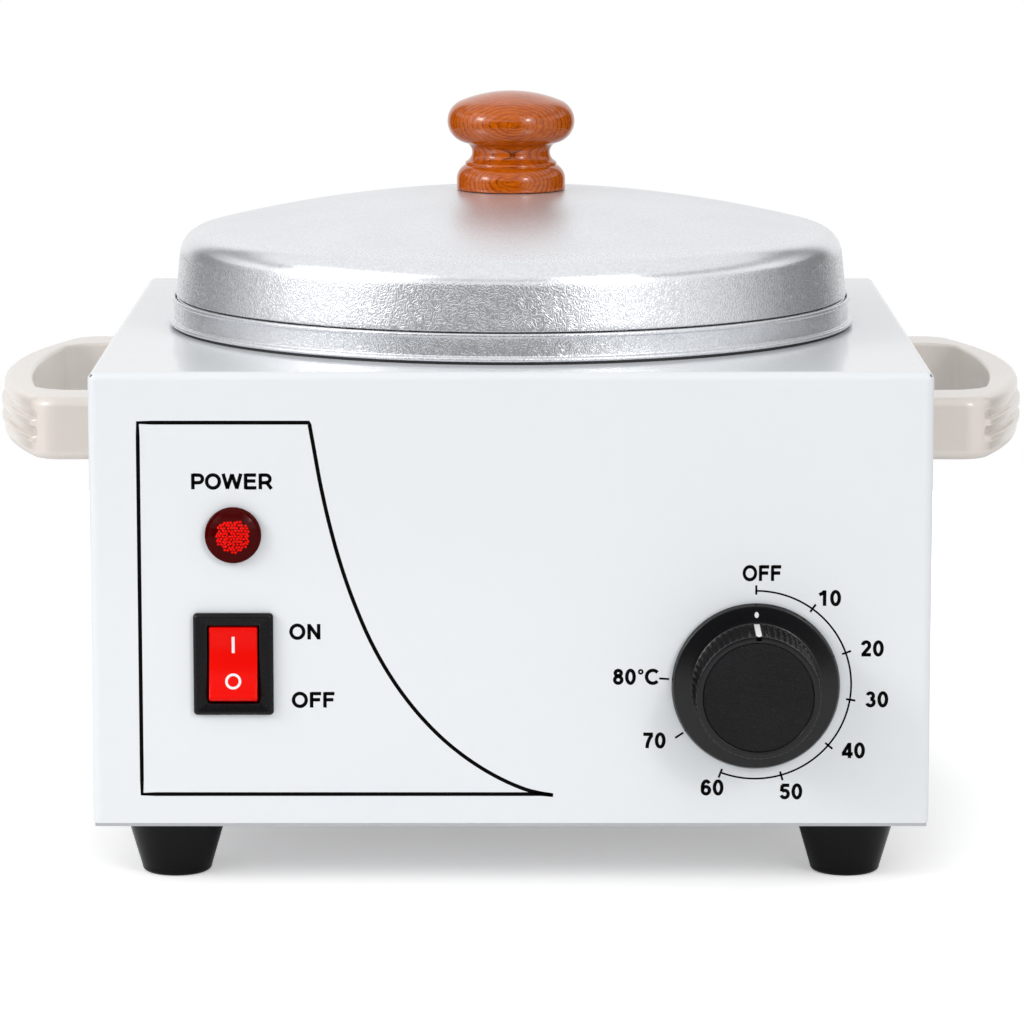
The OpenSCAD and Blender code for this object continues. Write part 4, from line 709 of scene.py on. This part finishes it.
# %% Oval on the dial
radius, turn = np.meshgrid([0.0, 0.5, 1.0], np.linspace(0, 2 * np.pi, 33)[:-1], indexing="ij")
u, v = 0.58 * radius * np.cos(turn), 20.1 + 0.8 * radius * np.sin(turn)
slope = (grip_foot[1] - skirt_edge[1]) / (skirt_edge[0] - grip_foot[0])
skirt_h = skirt_edge[1] + (skirt_edge[0] - np.hypot(u, v)) * slope + 0.04
grid = np.stack([dial_x + u, front_y - skirt_h, dial_z + v], -1)
dot = sheet_mesh("mark_dial", grid, closed=True)
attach(dot, "dial")

# %% [markdown]
# ## Finishes
# A few helpers keep the node trees short. A number in a tree can be added and
# multiplied like any other, and each sum becomes a Math node. Every pattern reads the
# object's own coordinates, so it stays fixed to the part whatever the camera does.

# %% Node helpers
class Value:
    """A number or colour in a node tree."""
    def __init__(self, tree, socket):
        self.tree, self.socket = tree, socket

    def math(self, operation, *others):
        return add(self.tree, "Math", self, *others, operation=operation)

    def __add__(self, other):
        return self.math("ADD", other)

    def __sub__(self, other):
        return self.math("SUBTRACT", other)

    def __mul__(self, other):
        return self.math("MULTIPLY", other)

    def __gt__(self, other):
        return self.math("GREATER_THAN", other)

    def __lt__(self, other):
        return self.math("LESS_THAN", other)

    def spread(self, low, high, to_low, to_high):
        """Maps the range low..high to to_low..to_high and stops at its ends."""
        return add(self.tree, "MapRange", self, low, high, to_low, to_high)

    def into(self, node, name):
        self.tree.links.new(self.socket, node.inputs[name])

def add(tree, kind, *inputs, out=0, **settings):
    """A node's output. Its inputs are filled in order: None leaves one alone, a Value is linked."""
    made = tree.nodes.new("ShaderNode" + kind)
    for key, value in settings.items():
        setattr(made, key, value)
    for socket, value in zip(made.inputs, inputs):
        if isinstance(value, Value):
            tree.links.new(value.socket, socket)
        elif value is not None:
            socket.default_value = value
    return Value(tree, made.outputs[out])

def shader(name, **values):
    """A Principled material, with each named socket set; an underscore stands for a space."""
    material = bpy.data.materials.new(name)
    material.use_nodes = True
    surface = material.node_tree.nodes["Principled BSDF"]
    for key, value in values.items():
        surface.inputs[key.replace("_", " ")].default_value = value
    return material, material.node_tree, surface

def place_of(tree, stretch=(1, 1, 1)):
    """Object coordinates in metres, stretched."""
    return add(tree, "VectorMath", add(tree, "TexCoord", out="Object"), stretch, operation="MULTIPLY")

def axis(tree, number):
    """One of the object coordinates."""
    return add(tree, "SeparateXYZ", place_of(tree), out=number)

def noise(tree, size, detail=2.0, rough=0.5, twist=0.0, stretch=(1, 1, 1)):
    """Noise with lumps of about that size in millimetres."""
    made = tree.nodes.new("ShaderNodeTexNoise")
    place_of(tree, stretch).into(made, "Vector")
    for key, value in (("Scale", 1000 / size), ("Detail", detail), ("Roughness", rough), ("Distortion", twist)):
        made.inputs[key].default_value = value
    return Value(tree, made.outputs[0])

def blend(factor, a, b):
    """A colour between a and b, each a triple or a Value."""
    a, b = (colour if isinstance(colour, Value) else (*colour, 1) for colour in (a, b))
    return add(factor.tree, "Mix", factor, *[None] * 5, a, b, out=2, data_type="RGBA")

def bumps(surface, height, depth):
    """Bump of that depth in millimetres on the surface's normal."""
    made = height.tree.nodes.new("ShaderNodeBump")
    made.inputs["Strength"].default_value = 1.0
    made.inputs["Distance"].default_value = depth / 1000
    height.into(made, "Height")
    Value(height.tree, made.outputs[0]).into(surface, "Normal")

# %% [markdown]
# Enamel is glass fused to steel. It is almost flat, with a very faint waviness that
# only the reflections show.

# %% Enamel
enamel, tree, surface = shader("enamel", Roughness=0.1, IOR=1.28)
blend(noise(tree, 60, 3), (0.812, 0.84, 0.868), (0.832, 0.857, 0.883)).into(surface, "Base Color")
bumps(surface, noise(tree, 9, 2), 0.02)

# %% [markdown]
# The pressed aluminium is satin, with a fine grain all over. The skirt and the band
# are peened with short worm-like dents: contour lines of a smooth noise. They fade
# away above the lid's shoulder, where the sheet is rougher. Besides their bumps, the
# dents are painted into the colour as painted shade: darker along the worms. The natural
# skin of the metal is dull, so a share of the light is scattered instead of mirrored.

# %% Aluminium
def aluminium(name, colour, metallic, rough, depth, worm, below=None):
    """Satin metal: worms of that size in mm under the height below, grain above it; the worms also darken the
    colour as painted shade of the dents.
    """
    material, tree, surface = shader(name, Metallic=metallic)
    grain = noise(tree, 0.6, 2, 0.6)
    ridge = (noise(tree, 3 * worm, 0.0) * 24.0).math("SINE") * 0.5 + 0.5
    level, grain_and_dent_shade = rough, ridge
    if below is not None:
        height = axis(tree, 2)
        low = height.spread(below / 1000, below / 1000 + 0.0025, 1, 0)
        grain_and_dent_shade = low.spread(0.0, 1.0, grain.spread(0.35, 0.65, 0.1, 1.0), ridge)
        ridge = ridge * low
        dome = height.spread((below + 4) / 1000, (below + 9) / 1000, 0.0, 0.17)
        level = low.spread(0.0, 1.0, rough - 0.09, rough) + dome
    # painted shade: the colour is darker along the peened dents, on top of a random tone
    tone = noise(tree, 30, 2) * 0.4 + grain_and_dent_shade * 0.6
    blend(tone, tuple(0.72 * c for c in colour), colour).into(surface, "Base Color")
    (grain.spread(0.3, 0.7, -0.03, 0.04) + level).into(surface, "Roughness")
    bumps(surface, ridge + grain * 0.5, depth)
    return material

lid_metal = aluminium("lid_metal", (0.85, 0.868, 0.90), 0.66, 0.25, 0.03, 0.42, top_z + 21.0)
well_metal = aluminium("well_metal", (0.85, 0.868, 0.90), 0.66, 0.22, 0.026, 0.4)
pot_metal = aluminium("pot_metal", (0.86, 0.87, 0.88), 0.85, 0.22, 0.005, 0.3)

# %% [markdown]
# Varnished wood. Growth rings are layers in the wood. Where a round knob is turned
# from them, its foremost points cut the layers in nested ovals, one set on the cap and
# one on the base. The layers' number grows with the square root of the depth behind
# those points, so the ovals lie about as far from each other all over.

# %% Wood
wood, tree, surface = shader("wood", Roughness=0.5, Specular_IOR_Level=0.0, Coat_Weight=1.0, Coat_Roughness=0.02,
                             Coat_IOR=1.48)
front, height = axis(tree, 1), axis(tree, 2)
cap_depth = front - (mid_y - cap[0] - cap_edge) / 1000
rise = height - (top_z + knob_seat + 3.6) / 1000
base_depth = front - (mid_y - base[0] - base_round) / 1000 + rise * rise * 60.0
on_base = height < (top_z + knob_seat + 9) / 1000
depth = on_base.spread(0.0, 1.0, cap_depth, base_depth)
sway = (noise(tree, 9, 2) - 0.5) * 0.0022
shake = (noise(tree, 1.6, 2) - 0.5) * 0.00035
count = (depth + sway + shake).math("MAXIMUM", 0.0).math("SQRT") * 118.0
strong = noise(tree, 7, 2, 0.5, 0.0, (1, 2.5, 1)).spread(0.35, 0.65, 0.45, 1.0)
late = count.math("FRACT").math("POWER", 5.0) * strong
streak = noise(tree, 0.8, 3, 0.6, 0.3, (0.25, 1, 1))
early = blend(streak.spread(0.3, 0.7, 0.0, 1.0), (0.44, 0.069, 0.001), (0.64, 0.136, 0.002))
blend(late, early, (0.065, 0.008, 0.001)).into(surface, "Base Color")
bumps(surface, streak, 0.002)

# %% [markdown]
# Plastics. Each has a slight unevenness of tone and a moulded grain at its own scale.
# The dial's grip is polished more by fingers than its skirt, so it shines more.

# %% Plastics
def plastic(name, colour, rough, grain=0.5, depth=0.01, vary=0.08, gloss=0.5):
    """Moulded plastic: tone varied by vary, grain of that size and depth in millimetres."""
    material, tree, surface = shader(name, Specular_IOR_Level=gloss)
    low, high = (tuple(min(c * (1 + way * vary), 1) for c in colour) for way in (-1, 1))
    blend(noise(tree, 12, 2), low, high).into(surface, "Base Color")
    fine = noise(tree, grain, 2, 0.5)
    fine.spread(0.3, 0.7, rough * 0.88, rough * 1.12).into(surface, "Roughness")
    bumps(surface, fine, depth)
    return material

def shine(material, low, high, level):
    """Give what lies between two distances in front of the panel, in mm, that specular level."""
    surface = material.node_tree.nodes["Principled BSDF"]
    rest = surface.inputs["Specular IOR Level"].default_value
    y = axis(material.node_tree, 1)
    there = (y < (front_y - low) / 1000) * (y > (front_y - high) / 1000)
    there.spread(0.0, 1.0, rest, level).into(surface, "Specular IOR Level")

ivory = plastic("ivory_moulding", (0.78, 0.715, 0.66), 0.15, 0.8, 0.001, 0.015, gloss=0.9)
gloss_black = plastic("dial_moulding", (0.004, 0.004, 0.005), 0.2, 0.3, 0.004, gloss=0.45)
shine(gloss_black, 4.2, 17.4, 1.0)
black = plastic("black_moulding", (0.004, 0.004, 0.005), 0.28, 0.3, 0.006, gloss=0.22)
face_grain = plastic("face_grain", (0.007, 0.007, 0.008), 0.4, 0.6, 0.4, 0.5, gloss=0.18)
rubber = plastic("rubber", (0.002, 0.002, 0.0025), 0.13, 0.7, 0.0015, gloss=0.22)
red = plastic("red_moulding", (0.86, 0.003, 0.0005), 0.2, 0.5, 0.003, 0.03, gloss=0.12)
white_ink = plastic("white_ink", (0.86, 0.86, 0.86), 0.4, 0.3, 0.002, 0.01)
black_ink = plastic("black_ink", (0.001, 0.001, 0.001), 0.5, 0.3, 0.002, gloss=0.05)

# %% Lens
lens_red, tree, surface = shader("lens_red", Roughness=0.3, Specular_IOR_Level=0.0, Coat_Weight=0.15,
                                 Coat_Roughness=0.02)
# painted glow: the beads are bright red as if lit from behind by the bulb, the rest of the lens dark red
bead_glow = add(tree, "Attribute", out="Fac", attribute_name="bead").spread(0.1, 0.8, 0.0, 1.0)
blend(bead_glow, (0.06, 0.0002, 0.0001), (0.95, 0.004, 0.001)).into(surface, "Base Color")
bumps(surface, noise(tree, 1.5, 2), 0.004)

# %% [markdown]
# The inner parts are hidden while the warmer is whole, but they keep real finishes:
# zinc plate, heater steel, copper, brass, ceramic, glass wool and wire insulation.

# %% Inner metals and fillers
def metal(name, colour, rough, grain, depth, vary=0.1):
    """Plated or rolled metal: cloudy tone, grain of that size and depth in millimetres."""
    material, tree, surface = shader(name, Metallic=1.0)
    blend(noise(tree, 6, 4, 0.6, 0.6), tuple(c * (1 - vary) for c in colour), colour).into(surface, "Base Color")
    fine = noise(tree, grain, 3)
    fine.spread(0.3, 0.7, rough * 0.8, rough * 1.2).into(surface, "Roughness")
    bumps(surface, fine, depth)
    return material

zinc = metal("zinc_plate", (0.66, 0.67, 0.70), 0.34, 0.6, 0.01)
heater = metal("heater_metal", (0.52, 0.50, 0.47), 0.42, 1.2, 0.02, 0.25)
wire_steel = metal("wire_metal", (0.72, 0.72, 0.73), 0.2, 0.4, 0.004)
copper = metal("copper_metal", (0.86, 0.44, 0.28), 0.3, 0.5, 0.006)
brass = metal("brass", (0.80, 0.60, 0.27), 0.3, 0.5, 0.006)
ceramic = plastic("ceramic", (0.72, 0.66, 0.54), 0.5, 0.5, 0.02, 0.05)
wool = plastic("wool", (0.70, 0.68, 0.60), 0.95, 1.4, 0.6, 0.12)
silicone = plastic("silicone", (0.012, 0.012, 0.012), 0.5, 0.6, 0.01)
glow = plastic("bulb_glass", (0.75, 0.25, 0.03), 0.12, 0.6, 0.002)
brown_wire = plastic("brown_wire", (0.12, 0.045, 0.018), 0.4, 0.4, 0.004)
blue_wire = plastic("blue_wire", (0.03, 0.11, 0.42), 0.4, 0.4, 0.004)

green_wire, tree, surface = shader("green_wire", Roughness=0.4)
stripe = ((axis(tree, 2) + axis(tree, 1)) * 330.0).math("FRACT")
blend(stripe > 0.5, (0.04, 0.30, 0.05), (0.75, 0.62, 0.03)).into(surface, "Base Color")
bumps(surface, noise(tree, 0.5, 2), 0.004)

# %% Hand out the finishes
finishes = {
    "white_enamel": enamel, "zinc_steel": zinc, "black_rubber": rubber, "off_white_moulding": ivory,
    "black_silicone": silicone, "peened_aluminium": well_metal, "heater_steel": heater, "glass_wool": wool,
    "copper": copper, "black_plastic": black, "bright_aluminium": pot_metal, "bright_steel": wire_steel,
    "satin_aluminium": lid_metal, "varnished_wood": wood, "red_plastic": red, "brass_metal": brass,
    "red_lens": lens_red, "amber_bulb": glow, "cream_ceramic": ceramic, "dark_grey_insert": face_grain,
    "white_paint": white_ink, "brown_insulation": brown_wire, "blue_insulation": blue_wire,
    "green_insulation": green_wire}
for node in nodes.values():
    for holder in node.material_slots:
        holder.material = finishes[holder.material.name.split(".")[0]]
new_pieces = {
    lid: lid_metal, well: well_metal, pot: pot_metal, knob: wood, dial: gloss_black, face: face_grain, bezel: black,
    rocker: red, mark_on: white_ink, mark_off: white_ink, lens: lens_red, dot: white_ink,
    **{piece: ivory for piece in handles}, **{piece: black_ink for piece in prints}}
for piece, material in new_pieces.items():
    piece.data.materials.append(material)
print("finishes:", len(finishes), "new pieces:", len(new_pieces))

# %% [markdown]
# ## Stage, light and camera
# The warmer stands on a white sheet. The sheet takes the shadow near the warmer and
# goes over into the white background further out, without an edge.

# %% Floor
rim, around = 620, np.linspace(0, 2 * np.pi, 97)[:-1]
disc = np.stack([rim * np.cos(around), rim * np.sin(around), 0 * around], -1)
floor = mesh_piece("floor", disc, [list(range(96))])
ground, tree, surface = shader("ground", Base_Color=(0.9, 0.9, 0.9, 1), Roughness=0.8, Specular_IOR_Level=0.0)
away = add(tree, "VectorMath", place_of(tree), operation="LENGTH", out=1)
seen = add(tree, "LightPath", out="Is Camera Ray")
lift = add(tree, "Emission", None, seen * away.spread(0.13, 0.33, 0.38, 1.0))
add(tree, "AddShader", Value(tree, surface.outputs[0]), lift).into(tree.nodes["Material Output"], "Surface")
floor.data.materials.append(ground)

# %% [markdown]
# The surroundings are a dim room in front with a white card low on either side, a
# strip of light above them, a pale ceiling and the white background behind. Mirror-like
# surfaces show them. Plain diffuse light sees an even level instead that grows a little
# towards the ceiling, and the camera sees white.

# %% World
world = bpy.data.worlds.new("studio")
bpy.context.scene.world = world
world.use_nodes = True
tree = world.node_tree
direction = add(tree, "TexCoord", out="Generated")
sideways, backward, upward = (add(tree, "SeparateXYZ", direction, out=number) for number in range(3))
behind = (backward - sideways.math("ABSOLUTE") * 0.9).spread(0.2, 0.45, 0.0, 1.0)
overhead = upward.spread(0.58, 0.65, 0.0, 0.95)
backdrop = upward.spread(0.05, 0.5, 0.95, 1.1)
azimuth = sideways.math("ARCTAN2", backward * -1.0)
card_right = azimuth.spread(0.25, 0.6, 0.0, 1.0) * azimuth.spread(1.2, 1.9, 1.0, 0.0)
card_left = azimuth.spread(-2.1, -1.5, 0.0, 0.8) * azimuth.spread(-1.0, -0.7, 1.0, 0.0)
cards = (card_right + card_left) * upward.spread(0.3, 0.42, 1.0, 0.0)
strip_light = upward.spread(0.24, 0.28, 0.0, 1.2) * backward.spread(0.3, 0.8, 1.0, 0.0)
strip_light = strip_light * upward.spread(0.42, 0.5, 1.0, 0.5)
room = cards.math("MAXIMUM", strip_light).math("MAXIMUM", 0.05)
room = behind.math("MAXIMUM", overhead).spread(0.0, 1.0, room, backdrop)
glossy, bounces, seen = (add(tree, "LightPath", out=name)
                         for name in ("Is Glossy Ray", "Diffuse Depth", "Is Camera Ray"))
plain = upward.spread(-1.0, 1.0, 0.25, 0.67)
strength = (glossy * (bounces < 0.5)).spread(0.0, 1.0, plain, room).math("MAXIMUM", seen)
strength.into(tree.nodes["Background"], "Strength")
tree.nodes["Background"].inputs["Color"].default_value = (1, 1, 1, 1)

# %% [markdown]
# The light comes from a tall soft box to the left of the camera and a smaller one to
# the right. Each grows brighter towards its middle, as a real one does before its
# bulb: a wide pane, a core and a small heart.

# %% Lamps
def soft_lamp(name, azimuth, elevation, distance, width, height, level):
    """An area lamp that faces the warmer. level is its brightness, 1 for white paper."""
    lamp = bpy.data.lights.new(name, "AREA")
    lamp.shape, lamp.size, lamp.size_y = "RECTANGLE", width, height
    lamp.energy = level * math.pi * width * height
    holder = placed(name, lamp)
    a, e = math.radians(azimuth), math.radians(elevation)
    holder.location = (distance * math.sin(a) * math.cos(e), -distance * math.cos(a) * math.cos(e),
                       0.1 + distance * math.sin(e))
    holder.rotation_euler = (math.pi / 2 - e, 0, a)

soft_lamp("lamp_left", -61, 27, 1.6, 1.45, 1.3, 1.0)
soft_lamp("lamp_left_core", -60, 26, 1.55, 0.5, 0.62, 2.7)
soft_lamp("lamp_left_heart", -60, 26, 1.5, 0.3, 0.3, 9.0)
soft_lamp("lamp_right", 33, 24, 1.75, 0.82, 1.2, 1.25)
soft_lamp("lamp_right_core", 33, 26, 1.7, 0.38, 0.5, 3.2)
soft_lamp("lamp_right_heart", 33, 26, 1.65, 0.17, 0.3, 11.5)

# %% [markdown]
# The camera stands far off with a long lens, a little above the lid, and looks down by
# the angle that was solved from the box's edges in the photo.

# %% Camera
look_down, distance, eye_height = 9.193, 1.418, 0.3164
camera = placed("camera", bpy.data.cameras.new("camera"))
camera.data.sensor_width, camera.data.lens = 36.0, 171.03
camera.location = (0.0003, -distance, eye_height)
camera.rotation_euler = (math.radians(90 - look_down), 0, 0)
bpy.context.scene.camera = camera
bpy.context.scene.view_settings.view_transform = "Standard"
